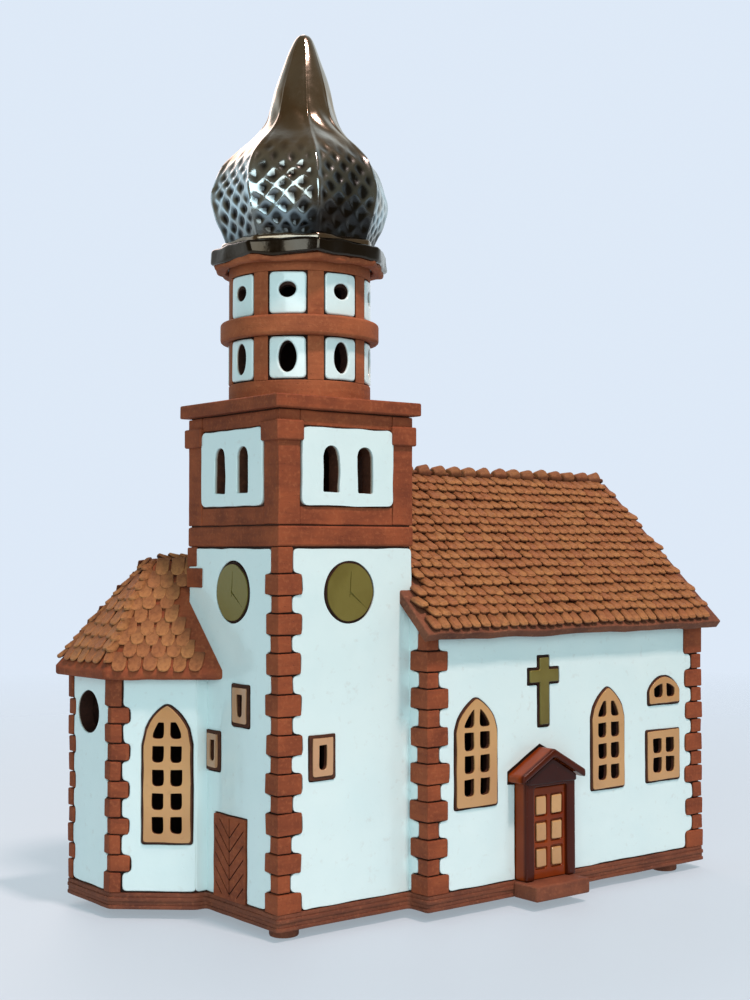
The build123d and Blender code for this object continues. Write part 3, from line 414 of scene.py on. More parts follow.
@dataclass(frozen=True)
class LustreFinish:
    """Metallic lustre glaze, dark and mirror like, with a browner bloom in places, and a dark colour where a
    piece marks it, which on the dome's skin is partly painted shade.
    """

    name: str
    bright: Colour
    bloom: Colour
    metallic: float
    roughness: float
    wave: float = 0.0002
    shade_and_dark_colour: Colour = (0.1, 0.08, 0.07)

    def make(self) -> bpy.types.Material:
        """Build the material.

        Returns:
            The material.
        """
        paint = Paint(self.name)
        clouds = paint.noise(70.0, 4.0)
        fine = paint.noise(520.0, 3.0)
        tone = paint.ramp(clouds, (0.3, 0.0), (0.56, 1.0)) * (1.0 - 0.8 * paint.attribute("bloom"))
        colour = paint.blend(tone, linear(self.bloom), linear(self.bright))
        # the marked dark colour: painted shade in the dome's dents and on one side, a darker tone at its
        # foot, in patches and on its rings
        colour = paint.blend(paint.attribute("soot"), colour, linear(self.shade_and_dark_colour))
        return paint.finish(
            Base_Color=colour,
            Metallic=self.metallic,
            Roughness=self.roughness + (fine - 0.5) * 0.12 + tone * 0.03,
            Normal=paint.bump(clouds + fine * 0.25, self.wave),
        )


@dataclass(frozen=True)
class FoilFinish:
    """Thin drawn aluminium of the tealight cup."""

    name: str = "drawn_foil"

    def make(self) -> bpy.types.Material:
        """Build the material.

        Returns:
            The material.
        """
        paint = Paint(self.name)
        drawn = paint.noise(700.0, 3.0, (1.0, 1.0, 0.08))
        return paint.finish(
            Base_Color=paint.blend(drawn, linear((0.78, 0.78, 0.8)), linear((0.9, 0.9, 0.92))),
            Metallic=1.0,
            Roughness=0.22 + drawn * 0.16,
            Normal=paint.bump(drawn, 0.00012),
        )


@dataclass(frozen=True)
class WaxFinish:
    """White wax with a soft bloom and a faint grain."""

    name: str = "tealight_wax_white"

    def make(self) -> bpy.types.Material:
        """Build the material.

        Returns:
            The material.
        """
        paint = Paint(self.name)
        cloud = paint.noise(160.0, 4.0)
        return paint.finish(
            Base_Color=paint.blend(cloud, linear((0.9, 0.89, 0.85)), linear((0.96, 0.95, 0.93))),
            Roughness=0.38 + cloud * 0.15,
            Normal=paint.bump(cloud, 0.0003),
            Subsurface_Weight=0.15,
            Subsurface_Radius=(0.004, 0.003, 0.002),
        )


@dataclass(frozen=True)
class WickFinish:
    """Waxed cotton braid."""

    name: str = "cotton_wick"

    def make(self) -> bpy.types.Material:
        """Build the material.

        Returns:
            The material.
        """
        paint = Paint(self.name)
        braid = paint.node(
            "ShaderNodeTexWave",
            {"wave_type": "BANDS", "bands_direction": "DIAGONAL"},
            {"Vector": paint.place, "Scale": 900.0, "Distortion": 1.5},
        )
        return paint.finish(
            Base_Color=paint.blend(braid, linear((0.72, 0.69, 0.62)), linear((0.92, 0.9, 0.85))),
            Roughness=0.8,
            Normal=paint.bump(braid, 0.0002),
        )


class Finish(Enum):
    """Every finish of the house and its tealight."""

    CLAY = ClayFinish("terracotta_clay", (0.59, 0.305, 0.18), (0.445, 0.22, 0.135), (0.66, 0.385, 0.245))
    PLINTH = ClayFinish("plinth_clay", (0.505, 0.29, 0.2), (0.37, 0.21, 0.155), (0.6, 0.37, 0.26))
    DRUM = ClayFinish("drum_clay", (0.645, 0.36, 0.22), (0.52, 0.275, 0.165), (0.7, 0.43, 0.28))
    LINING = ClayFinish("lining_clay", (0.33, 0.19, 0.13), (0.23, 0.13, 0.09), (0.4, 0.24, 0.165))
    EDGE = ClayFinish("edge_clay", (0.5, 0.305, 0.215), (0.36, 0.21, 0.155), (0.63, 0.42, 0.31))
    OXIDE = ClayFinish("oxide_outline", (0.22, 0.12, 0.085), (0.13, 0.07, 0.05), (0.29, 0.165, 0.115))
    TILE = TileFinish()
    WHITE = GlazeFinish("white_glaze", (0.855, 0.93, 0.925), (0.80, 0.90, 0.905), (0.62, 0.50, 0.40))
    TAN = GlazeFinish(
        "tan_glaze", (0.765, 0.585, 0.375), (0.69, 0.50, 0.31), (0.30, 0.17, 0.11), wave=0.0006, mottle=0.8
    )
    BUFF = GlazeFinish(
        "buff_glaze", (0.75, 0.575, 0.42), (0.66, 0.48, 0.34), (0.30, 0.17, 0.11), wave=0.0006, mottle=0.8
    )
    BROWN = GlazeFinish(
        "brown_glaze", (0.41, 0.145, 0.05), (0.56, 0.245, 0.085), (0.18, 0.045, 0.025),
        roughness=0.2, wave=0.0007, mottle=0.9, coat=0.03, shine=0.18,
    )
    UMBER = GlazeFinish(
        "umber_glaze", (0.17, 0.06, 0.045), (0.27, 0.1, 0.055), (0.12, 0.045, 0.035),
        wave=0.0006, coat=0.0, shine=0.22,
    )
    GOLD = LustreFinish("gold_lustre", (0.47, 0.43, 0.2), (0.4, 0.355, 0.14), 0.2, 0.3)
    DOME = LustreFinish("dome_lustre", (0.79, 0.885, 0.93), (0.6, 0.52, 0.42), 1.0, 0.16)
    FOIL = FoilFinish()
    WAX = WaxFinish()
    WICK = WickFinish()


class Outline:
    """A closed outline in the plane of a wall, in millimetres."""

    def __init__(self, points: Iterable[Point]) -> None:
        """Keep its corners, in order."""
        self.points = list(points)

    @classmethod
    def box(cls, x0: float, y0: float, x1: float, y1: float) -> Outline:
        """Rectangle from two corners."""
        return cls([(x0, y0), (x1, y0), (x1, y1), (x0, y1)])

    @classmethod
    def about(cls, x: float, y: float, half_w: float, half_h: float) -> Outline:
        """Rectangle about a centre."""
        return cls.box(x - half_w, y - half_h, x + half_w, y + half_h)

    @classmethod
    def oval(cls, x: float, y: float, half_w: float, half_h: float, steps: int) -> Outline:
        """Oval about a centre."""
        turns = [math.tau * step / steps for step in range(steps)]
        return cls((x + half_w * math.cos(turn), y + half_h * math.sin(turn)) for turn in turns)

    @classmethod
    def mirrored(cls, middle: float, right: Sequence[Point], *peak: Point) -> Outline:
        """Outline alike on both sides of a middle line, from its right half, bottom up, and its peak."""
        left = [(-x, y) for x, y in right]
        return cls((middle + x, y) for x, y in [left[0], *right, *peak, *left[:0:-1]])

    def soft(self, radius: float, steps: int = 3, least_turn: float = 0.3) -> Outline:
        """Round the corners.

        Args:
            radius: how far from a corner the curve starts.
            steps: points on each curve.
            least_turn: turn in radians under which a corner stays.
        Returns:
            The rounded outline.
        """
        made = []
        longest = 0.45
        for index, corner in enumerate(self.points):
            here, before = Vector(corner), Vector(self.points[index - 1])
            after = Vector(self.points[(index + 1) % len(self.points)])
            turn = 0.0
            if here not in (before, after):
                turn = abs((here - before).angle_signed(after - here, 0.0))
            if turn < least_turn:
                made.append((here.x, here.y))
                continue
            start = here + (before - here) * min(longest, radius / max(1e-6, (before - here).length))
            end = here + (after - here) * min(longest, radius / max(1e-6, (after - here).length))
            for step in range(steps + 1):
                share = step / steps
                point = start.lerp(here, share).lerp(here.lerp(end, share), share)
                made.append((point.x, point.y))
        return Outline(made)

    def wobbly(self, amount: float, seed: float, stride: float = 2.5) -> Outline:
        """Draw the outline again by an unsteady hand.

        Args:
            amount: largest shift.
            seed: which hand.
            stride: longest run between points.
        Returns:
            The outline with points along its runs.
        """
        made = []
        pace = 0.16
        for index, corner in enumerate(self.points):
            start, end = Vector(corner), Vector(self.points[(index + 1) % len(self.points)])
            runs = max(1, round((end - start).length / stride))
            for run in range(runs):
                point = start.lerp(end, run / runs)
                shift = noise.noise_vector(Vector((point.x * pace, point.y * pace, seed * 3.7)))
                made.append((point.x + shift.x * amount, point.y + shift.y * amount))
        return Outline(made)


def pick(*pieces: Piece) -> None:
    """Select these pieces alone, the first one active.

    Args:
        pieces: the pieces.
    """
    bpy.ops.object.select_all(action="DESELECT")
    for piece in pieces:
        piece.select_set(True)
    bpy.context.view_layer.objects.active = pieces[0]


class Work:
    """A piece in the making: a mesh in millimetres and the steps that shape it, each of which returns it."""

    def __init__(self, piece: Piece, name: str = "") -> None:
        """Take up a piece, and name it if a name is given.

        Args:
            piece: the object.
            name: its new name, if any.
        """
        self.piece = piece
        if name:
            piece.name = name

    @classmethod
    def start(cls, name: str, primitive: Callable[..., Any], **settings: Any) -> Work:
        """Add a primitive by itself, to be shaped.

        Args:
            name: its name.
            primitive: operator that adds it.
            settings: what the operator takes.
        Returns:
            The new piece.
        """
        bpy.ops.object.select_all(action="DESELECT")
        primitive(**settings)
        return cls(bpy.context.object, name)

    @classmethod
    def prism(cls, name: str, outline: Outline, low: float, high: float) -> Work:
        """Slab cut to an outline.

        Args:
            name: name of the piece.
            outline: its edge in the local plane.
            low: height of its underside.
            high: height of its top.
        Returns:
            The slab.
        """
        points, add = outline.points, bpy.ops.mesh.primitive_circle_add
        work = cls.start(name, add, vertices=len(points), radius=1.0, fill_type="NGON")
        for vertex, (x, y) in zip(work.piece.data.vertices, points):
            vertex.co = (x, y, low)
        rise = {"value": (0.0, 0.0, high - low)}
        return work.edit(
            lambda: bpy.ops.mesh.extrude_region_move(TRANSFORM_OT_translate=rise),
            lambda: bpy.ops.mesh.normals_make_consistent(inside=False),
        )

    @classmethod
    def stamps(cls, outlines: Iterable[Outline], low: float, high: float) -> list[Work]:
        """Tools of one depth that cut outlines out of a piece."""
        return [cls.prism("stamp", outline, low, high) for outline in outlines]

    @classmethod
    def turned(cls, name: str, section: Sequence[Point], steps: int) -> Work:
        """Round piece spun about the upright axis from a closed section.

        Args:
            name: name of the piece.
            section: radius and height of each corner.
            steps: facets round the axis.
        Returns:
            The turned piece.
        """
        add = bpy.ops.mesh.primitive_circle_add
        work = cls.start(name, add, vertices=len(section), radius=1.0, fill_type="NOTHING")
        for vertex, (radius, height) in zip(work.piece.data.vertices, section):
            vertex.co = (radius, 0.0, height)
        return work.edit(
            lambda: bpy.ops.mesh.spin(steps=steps, angle=math.tau, center=(0.0, 0.0, 0.0), axis=UPRIGHT),
            lambda: bpy.ops.mesh.remove_doubles(threshold=0.001),
            lambda: bpy.ops.mesh.normals_make_consistent(inside=False),
        )

    @classmethod
    def joined(cls, name: str, works: Sequence[Work]) -> Work:
        """Make one piece of several, where they stand.

        Args:
            name: name of the whole.
            works: its parts.
        Returns:
            The whole.
        """
        pick(*(work.piece for work in works))
        if len(works) > 1:
            bpy.ops.object.join()
        bpy.ops.object.transform_apply(location=True, rotation=True, scale=True)
        return cls(works[0].piece, name)

    def edit(self, *steps: Callable[[], Any]) -> Work:
        """Run operators in edit mode, with everything selected before each.

        Args:
            steps: the operators.
        Returns:
            The piece.
        """
        pick(self.piece)
        bpy.ops.object.mode_set(mode="EDIT")
        for step in steps:
            bpy.ops.mesh.select_all(action="SELECT")
            step()
        bpy.ops.object.mode_set(mode="OBJECT")
        return self

    def stand(self, matrix: Matrix) -> Work:
        """Set the piece up by a matrix."""
        self.piece.matrix_world = matrix
        return self

    def twin(self, matrix: Matrix) -> Work:
        """Copy with a mesh of its own, set up by a matrix.

        Args:
            matrix: how it stands.
        Returns:
            The copy.
        """
        piece = self.piece.copy()
        piece.data = self.piece.data.copy()
        bpy.context.collection.objects.link(piece)
        return Work(piece).stand(matrix)

    def drop(self) -> None:
        """Take a helper away."""
        mesh = self.piece.data
        bpy.data.objects.remove(self.piece)
        bpy.data.meshes.remove(mesh)

    def apply(self, kind: str, **settings: Any) -> Work:
        """Add a modifier and apply it.

        Args:
            kind: type of the modifier.
            settings: its properties.
        Returns:
            The piece.
        """
        step = self.piece.modifiers.new(kind.lower(), kind)
        for key, value in settings.items():
            setattr(step, key, value)
        pick(self.piece)
        bpy.ops.object.modifier_apply(modifier=step.name)
        return self

    def cut(self, tools: Sequence[Work], crossing: bool = False) -> Work:
        """Cut with tools, which are used up.

        Args:
            tools: what is cut away.
            crossing: whether the tools cross each other.
        Returns:
            The piece.
        """
        if not tools:
            return self
        tool = Work.joined("tool", tools)
        settings = {"operation": "DIFFERENCE", "solver": "EXACT", "use_self": crossing}
        self.apply("BOOLEAN", object=tool.piece, **settings)
        tool.drop()
        return self

    def round_edges(self, width: float, segments: int = 3, angle: float = 40.0) -> Work:
        """Round the edges that turn by more than an angle in degrees."""
        limit = {"limit_method": "ANGLE", "angle_limit": math.radians(angle)}
        return self.apply("BEVEL", width=width, segments=segments, miter_outer="MITER_ARC", **limit)

    def score(self, normal: Vector, places: Iterable[float]) -> Work:
        """Score lines across a direction, at distances from the origin, so that long faces can bend."""
        planes = [{"plane_co": normal * place, "plane_no": normal} for place in places]
        return self.edit(*(lambda plane=plane: bpy.ops.mesh.bisect(**plane) for plane in planes))

    def bend(self, move: Callable[[Vector], Sequence[float]]) -> Work:
        """Move every point to where a rule says.

        Args:
            move: gives the new place of a point.
        Returns:
            The piece.
        """
        for vertex in self.piece.data.vertices:
            vertex.co = move(vertex.co.copy())
        return self

    def uneven(self, amount: float, size: float, seed: float, free: Vector = EVERY_WAY) -> Work:
        """Push the points about by up to an amount, over a size, as a hand does with soft clay."""
        offset = Vector((seed * 17.3, seed * 5.1, seed * 9.7))
        return self.bend(lambda point: point + noise.noise_vector(point / size + offset) * free * amount)

    def mark(self, name: str, level: float | Callable[[Vector], float]) -> Work:
        """Paint a value on every point.

        Args:
            name: attribute that a finish reads.
            level: one value, or a rule that gives it for a point.
        Returns:
            The piece.
        """
        rule = level if callable(level) else lambda point: level
        values = [rule(vertex.co) for vertex in self.piece.data.vertices]
        self.piece.data.attributes.new(name, "FLOAT", "POINT").data.foreach_set("value", values)
        return self


@dataclass(frozen=True)
class WindowSpec:
    """A window: its middle, sill, size and arch, and the layout of its panes."""

    along: float
    sill: float
    width: float
    height: float
    rise: float = 0.0
    point: float = 0.0
    columns: int = 1
    rows: int = 1
    pane_w: float = 3.0
    pane_h: float = 7.0
    bar: float = 2.2
    pitch: float = 7.0
    foot: float = 3.0

    def arch_height(self, border: float, x: float) -> float:
        """Height of the arch over a place.

        Args:
            border: how far inside the outline.
            x: place from the middle line.
        Returns:
            Height over the sill.
        """
        height = self.height - 2 * border
        rise = self.rise * height / self.height
        share = min(1.0, abs(x) / (self.width / 2 - border))
        curve = (1.0 - self.point) * math.sqrt(1.0 - share**2) + self.point * (1.0 - share)
        return border + height - rise + rise * curve

    def under_arch(self, border: float, x0: float, x1: float, y0: float, y1: float) -> Outline:
        """Part of the window between two lines and two levels, cut off by its arch.

        Args:
            border: how far inside its outline to stay.
            x0: left line, from the middle.
            x1: right line.
            y0: lower level, from the sill.
            y1: upper level.
        Returns:
            The outline in the wall's plane.
        """
        steps, least = 14, 0.6
        across = [x1 + (x0 - x1) * step / steps for step in range(steps + 1)]
        tops = [(x, min(y1, self.arch_height(border, x))) for x in across]
        tops = [(x, y) for x, y in tops if y > y0 + least]
        points = [(tops[-1][0], y0), (tops[0][0], y0)] + tops
        return Outline((self.along + x, self.sill + y) for x, y in points)

    def arch(self, border: float = 0.0) -> Outline:
        """Whole outline, drawn in by a border."""
        half = self.width / 2 - border
        return self.under_arch(border, -half, half, border, self.height)


# The wall of each window, then its WindowSpec in order
WINDOWS = {
    "nave_window_left": ("nave_front", 19.4, 25.4, 18.0, 35.0, 10.4, 0.42, 2, 4, 4.3, 5.6, 2.4, 7.3, 3.7),
    "nave_window_right": ("nave_front", 80.2, 25.4, 16.5, 35.0, 10.5, 0.42, 2, 4, 4.1, 5.2, 2.1, 7.2, 3.2),
    "nave_window_lunette": ("nave_front", 109.2, 52.5, 19.4, 10.2, 9.9, 0.1, 2, 1, 4.6, 6.0, 1.8, 7.0, 2.6),
    "nave_window_square": ("nave_front", 108.5, 25.5, 17.6, 18.2, 0.0, 0.0, 2, 2, 4.6, 5.2, 2.0, 6.8, 3.1),
    "choir_window_frame": (
        "choir_diagonal", 17.5, 15.4, 15.8, 43.6, 12.9, 0.3, 2, 5, 3.7, 5.2, 2.1, 7.4, 3.1
    ),
    "tower_window_front": ("tower_front", 15.2, 38.2, 9.6, 13.6, 0.0, 0.0, 1, 1, 3.0, 7.4, 2.2, 7.0, 3.1),
    "tower_window_upper": ("tower_left", 30.3, 53.4, 9.6, 12.9, 0.0, 0.0, 1, 1, 3.0, 6.9, 2.2, 7.0, 3.0),
    "tower_window_lower": ("tower_left", 14.8, 38.5, 8.0, 12.4, 0.0, 0.0, 1, 1, 2.7, 6.6, 2.2, 7.0, 2.9),
}


@dataclass(frozen=True)
class WallFace:
    """Outer face of a wall from start to end, left to right as seen from outside."""

    start: Point
    end: Point
    base: float

    @property
    def length(self) -> float:
        """Length of the face."""
        return math.dist(self.start, self.end)

    @property
    def matrix(self) -> Matrix:
        """Turns local along, up and out into the house's frame."""
        run = Vector((self.end[0] - self.start[0], self.end[1] - self.start[1], 0.0)).normalized()
        return axes(run, UPRIGHT, Vector((run.y, -run.x, 0.0)), Vector((*self.start, self.base)))


@dataclass(frozen=True)
class Quoin:
    """One corner block: its levels and its reach along the walls before and after the corner."""

    low: float
    high: float
    before: float
    after: float


@dataclass
class QuoinColumn:
    """Corner blocks where one wall ends and the next one starts."""

    before: WallFace
    after: WallFace
    low: float
    high: float
    seed: int
    reach: Reach = Reach.TOGETHER
    before_share: float = 1.0
    after_share: float = 1.0
    long: float = 7.6
    short: float = 4.0
    long_h: float = 6.0
    short_h: float = 5.0
    joint: float = 0.42
    proud: float = 1.25
    tilt: float = 1.6
    blocks: list[Quoin] = field(default_factory=list)

    def __post_init__(self) -> None:
        """Lay out the blocks with the unevenness of hand cut clay."""
        chance = random.Random(self.seed)
        level, is_long = self.low, True
        while level + self.short_h <= self.high:
            tall = (self.long_h if is_long else self.short_h) * chance.uniform(0.93, 1.07)
            top = min(level + tall, self.high)
            one = self.long if is_long else self.short
            other = one if self.reach is Reach.TOGETHER else (self.short if is_long else self.long)
            before = (one + chance.uniform(-0.5, 0.4)) * self.before_share
            after = (other + chance.uniform(-0.5, 0.4)) * self.after_share
            self.blocks.append(Quoin(level, top, before, after))
            level, is_long = top + self.joint, not is_long
        last = self.blocks.pop()
        self.blocks.append(Quoin(last.low, self.high, last.before, last.after))

    def build(self) -> list[Work]:
        """Model the blocks, one piece each.

        Returns:
            The blocks.
        """
        chance = random.Random(self.seed + 100)
        point = Vector(self.after.start)
        left = (point - Vector(self.before.start)).normalized()
        right = (Vector(self.after.end) - point).normalized()
        works = []
        for block in self.blocks:
            is_long = block.before > (self.long + self.short) / 2 * self.before_share
            proud = self.proud * chance.uniform(0.88, 1.0) * (1.0 if is_long else 0.84)
            left_out = Vector((left.y, -left.x)) * proud
            right_out = Vector((right.y, -right.x)) * proud
            out = left_out + right_out
            tip = point + out / (1.0 + left_out.dot(right_out) / proud**2)
            start, finish = point - left * block.before, point + right * block.after
            corners = [start, start + left_out, tip, finish + right_out, finish, point - out * 0.35]
            work = Work.prism("quoin", Outline((c.x, c.y) for c in corners), block.low, block.high)
            middle = Vector((point.x, point.y, (block.low + block.high) / 2))
            lean = Matrix.Rotation(math.radians(chance.uniform(-self.tilt, self.tilt)), 4, out.to_3d())
            work.piece.data.transform(Matrix.Translation(middle) @ lean @ Matrix.Translation(-middle))
            works.append(work)
        return works

    def steps(self, after: bool, top: float, gap: float) -> list[Point]:
        """Edge of the glaze beside the blocks, from the bottom up.

        Args:
            after: whether for the wall that starts at the corner, and not for the one that ends there.
            top: level where the glaze ends.
            gap: bare clay left between block and glaze.
        Returns:
            Distance from the corner and level of each point.
        """
        points = []
        for block in self.blocks:
            reach = (block.after if after else block.before) + gap
            points += [(reach, block.low - self.low), (reach, block.high - self.low)]
        if points[-1][1] < top - self.low:
            points.append((points[-1][0], top - self.low))
        return points


@dataclass
class Plan:
    """Shared places of the house, as in its solids, in millimetres."""

    tower_x: float = -78.0
    tower_y: float = -38.75
    floor_z: float = 8.0
    tower_side: float = 50.0
    nave_length: float = 128.5
    nave_step: float = 9.0
    choir_bay: float = 34.0
    nave_wall_h: float = 82.6
    choir_wall_h: float = 66.8
    shaft_h: float = 108.5
    band_h: float = 6.2
    roof_pitch: float = 42.5
    roof_slab: float = 3.2
    eave: float = 6.0
    verge: float = 6.5

    def __post_init__(self) -> None:
        """Work out the lines of the walls, the levels and the roof from the driving sizes."""
        self.tower_right = self.tower_x + self.tower_side
        self.tower_rear = self.tower_y + self.tower_side
        self.nave_right = self.tower_right + self.nave_length
        self.nave_front = self.tower_y - self.nave_step
        self.choir_rear = self.tower_rear + self.choir_bay
        self.nave_rear = self.choir_rear + self.nave_step
        self.ridge_y = (self.nave_front + self.nave_rear) / 2
        self.slope = math.radians(self.roof_pitch)
        drop = self.eave * math.tan(self.slope) - self.roof_slab / math.cos(self.slope)
        self.eave_z = self.floor_z + self.nave_wall_h - drop
        self.slope_length = (self.ridge_y - self.nave_front + self.eave) / math.cos(self.slope)
        self.band_top = self.floor_z + self.shaft_h + self.band_h
        half = self.tower_side / 2
        self.tower_middle = Vector((self.tower_x + half, self.tower_y + half, 0.0))


class House:
    """The house as a whole: its plan, its finishes and the frame that its pieces ride on."""

    def __init__(self, frame: dict[str, Any]) -> None:
        """Keep the frame and make the finishes.
        """
        self.frame = frame
        self.plan = Plan()
        self.materials = {finish: finish.value.make() for finish in Finish}
        self.count = 0

    def dress(self, mesh: bpy.types.Mesh, finish: Finish) -> None:
        """Give a mesh its finish."""
        mesh.materials.clear()
        mesh.materials.append(self.materials[finish])

    def paint_node(self, node: str, finish: Finish) -> None:
        """Give a solid that stays its finish."""
        self.dress(self.frame["nodes"][node].data, finish)

    def deliver(
        self,
        work: Work, finish: Finish, slot: Slot, *nodes: str,
        at: Matrix = HERE, angle: float = 42.0, weighted: bool = True, body: Body = Body.HOUSE,
    ) -> None:
        """Set a finished piece in its place, smooth and dress it and hang it on its body.

        Args:
            work: the piece, in millimetres.
            finish: its finish.
            slot: slot of the record; not used.
            nodes: solids that it stands for.
            at: its place in the house's frame.
            angle: largest turn in degrees that is shaded smooth.
            weighted: whether its large faces are left flat.
            body: body that it rides on.
        """
        piece = work.stand(Matrix.Scale(MM, 4) @ at).piece
        pick(piece)
        bpy.ops.object.transform_apply(location=True, rotation=True, scale=True)
        bpy.ops.object.shade_smooth_by_angle(angle=math.radians(angle))
        if weighted:
            work.apply("WEIGHTED_NORMAL", keep_sharp=True, weight=80)
        self.dress(piece.data, finish)
        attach(piece, body.value)
        if nodes:
            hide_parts(*nodes)
        self.count += 1
        LOG.info("%s: %d faces", piece.name, len(piece.data.polygons))

    def softened(self, node: str, name: str, width: float, segments: int = 3) -> Work:
        """Copy of a solid in millimetres, with the rounded edges of hand worked clay.

        Args:
            node: the solid.
            name: name of the copy.
            width: width of the rounding.
            segments: facets across it.
        Returns:
            The copy.
        """
        source = self.frame["nodes"][node]
        piece = source.copy()
        piece.data = source.data.copy()
        bpy.context.collection.objects.link(piece)
        piece.parent = None
        piece.data.transform(Matrix.Scale(1 / MM, 4))
        work = Work(piece, name).stand(HERE).edit(
            lambda: bpy.ops.mesh.remove_doubles(threshold=0.002),
            lambda: bpy.ops.mesh.dissolve_limited(angle_limit=math.radians(0.6)),
        )
        return work.round_edges(width, segments)


@dataclass
class Relief:
    """Something modelled on the outer face of a wall."""

    house: House
    face: WallFace

    def hang(
        self, work: Work, finish: Finish, slot: Slot, *nodes: str, spot: Matrix = HERE, angle: float = 40.0
    ) -> None:
        """Set a finished piece on the wall, at a spot in its plane, for the solids that it stands for."""
        self.house.deliver(work, finish, slot, *nodes, at=self.face.matrix @ spot, angle=angle)


@dataclass
class GlazeSheet(Relief):
    """White glaze on a wall: a thin pooled sheet with rounded edges and bare clay round its holes."""

    name: str
    outline: Outline
    holes: Sequence[Outline]
    seed: float
    thick: float = 0.65
    round_w: float = 0.6
    sunk: float = 0.25
    corner: float = 1.5
    wobble: float = 0.28
    hole_wobble: float = 0.18
    hole_stride: float = 1.6

    def build(self) -> None:
        """Model and dress the sheet."""
        outline = self.outline.soft(self.corner).wobbly(self.wobble, self.seed)
        sheet = Work.prism(self.name, outline, -self.sunk, self.thick)
        holes = [
            hole.wobbly(self.hole_wobble, self.seed + index + 1.0, self.hole_stride)
            for index, hole in enumerate(self.holes)
        ]
        sheet.cut(Work.stamps(holes, -2.0, 3.0)).round_edges(self.round_w)
        sheet.mark("edge", lambda point: max(0.0, 1.0 - point.z / self.thick))
        self.hang(sheet, Finish.WHITE, Slot.WHITE, angle=50.0)


@dataclass
class WindowFrame(Relief):
    """Window in relief: a dark clay frame with a tan glazed face and pierced panes."""

    name: str
    spec: WindowSpec
    glaze: Finish
    outline_w: float
    seed: float
    sunk: float = 0.3
    proud: float = 1.05
    glaze_h: float = 0.35
    lap: float = 0.5
    border: float = 2.7
    gap: float = 0.35

    def panes(self) -> list[Outline]:
        """Outlines of the panes, rounded and uneven.

        Returns:
            One outline for each pane.
        """
        spec, outlines = self.spec, []
        for column in range(spec.columns):
            left = (column - spec.columns / 2) * (spec.pane_w + spec.bar) + spec.bar / 2
            for row in range(spec.rows):
                low = spec.foot + row * spec.pitch
                pane = spec.under_arch(self.border, left, left + spec.pane_w, low, low + spec.pane_h)
                outlines.append(pane.soft(1.4).wobbly(0.3, self.seed + column * 7.0 + row, 1.5))
        return outlines

    def build(self, *nodes: str) -> Outline:
        """Model and dress the frame and its face.

        Args:
            nodes: solids that the frame stands for.
        Returns:
            The outline that the wall's glaze keeps clear of.
        """
        spec, top, panes = self.spec, self.proud + self.glaze_h, self.panes()
        outer = spec.arch().soft(0.8).wobbly(0.2, self.seed, 2.0)
        inner = spec.arch(self.outline_w).soft(0.9).wobbly(0.22, self.seed + 40.0, 2.0)
        frame = Work.prism(self.name, outer, -self.sunk, self.proud)
        skin = Work.prism(self.name + "_face", inner, self.proud - self.lap, top)
        for work, segments in ((frame, 2), (skin, 3)):
            work.cut(Work.stamps(panes, -2.0, 4.0)).round_edges(0.3, segments)
        skin.mark("edge", lambda point: clamp((top - point.z) / self.lap))
        self.hang(frame, Finish.LINING, Slot.TAN, *nodes, angle=50.0)
        self.hang(skin, self.glaze, Slot.TAN, angle=50.0)
        return spec.arch(-self.gap).soft(1.0)


@dataclass
class Clock(Relief):
    """Clock on the tower: a dark clay rim under a gold dial with two scored hands."""

    node: str
    seed: float
    along: float = 25.6
    up: float = 94.4
    rim_r: float = 9.3
    dial_r: float = 8.75
    bare_r: float = 9.65
    steps: int = 48
    hour: float = math.radians(-38.0)
    minute: float = math.radians(86.0)
    scored: float = 0.72

    def disc(self, part: str, radius: float, low: float, high: float) -> Work:
        """Round plate drawn by an unsteady hand."""
        outline = Outline.oval(0.0, 0.0, radius, radius, self.steps).wobbly(0.5, self.seed)
        return Work.prism(self.node + part, outline, low, high)

    def hand(self, length: float, width: float, turn: float) -> Work:
        """Tool that scores one hand into the dial.

        Args:
            length: from the middle to the tip.
            width: at the middle.
            turn: direction in radians.
        Returns:
            The tool.
        """
        back, tip = -0.5, width * 0.15
        outline = Outline([(back, -width / 2), (length, -tip), (length, tip), (back, width / 2)])
        tool = Work.prism("hand", outline, self.scored, 3.0)
        tool.piece.data.transform(Matrix.Rotation(turn, 4, "Z"))
        return tool

    def build(self) -> Outline:
        """Model and dress the clock.

        Returns:
            The outline that the wall's glaze keeps clear of.
        """
        back = self.disc("_clay", self.rim_r, -0.3, 0.7).round_edges(0.25, 2)
        dial = self.disc("_dial", self.dial_r, 0.3, 1.05)
        layout = (
            (5.6, 0.62, self.hour), (6.4, 0.5, self.minute),
            (1.5, 0.5, self.minute + math.pi), (8.2, 0.22, self.hour),
        )
        dial.cut([self.hand(*sizes) for sizes in layout], crossing=True).round_edges(0.22, 2, 50.0)
        spot = Matrix.Translation((self.along, self.up, 0.0))
        self.hang(back, Finish.OXIDE, Slot.GOLD, self.node, spot=spot)
        self.hang(dial, Finish.GOLD, Slot.GOLD, spot=spot)
        return Outline.oval(self.along, self.up, self.bare_r, self.bare_r, self.steps)


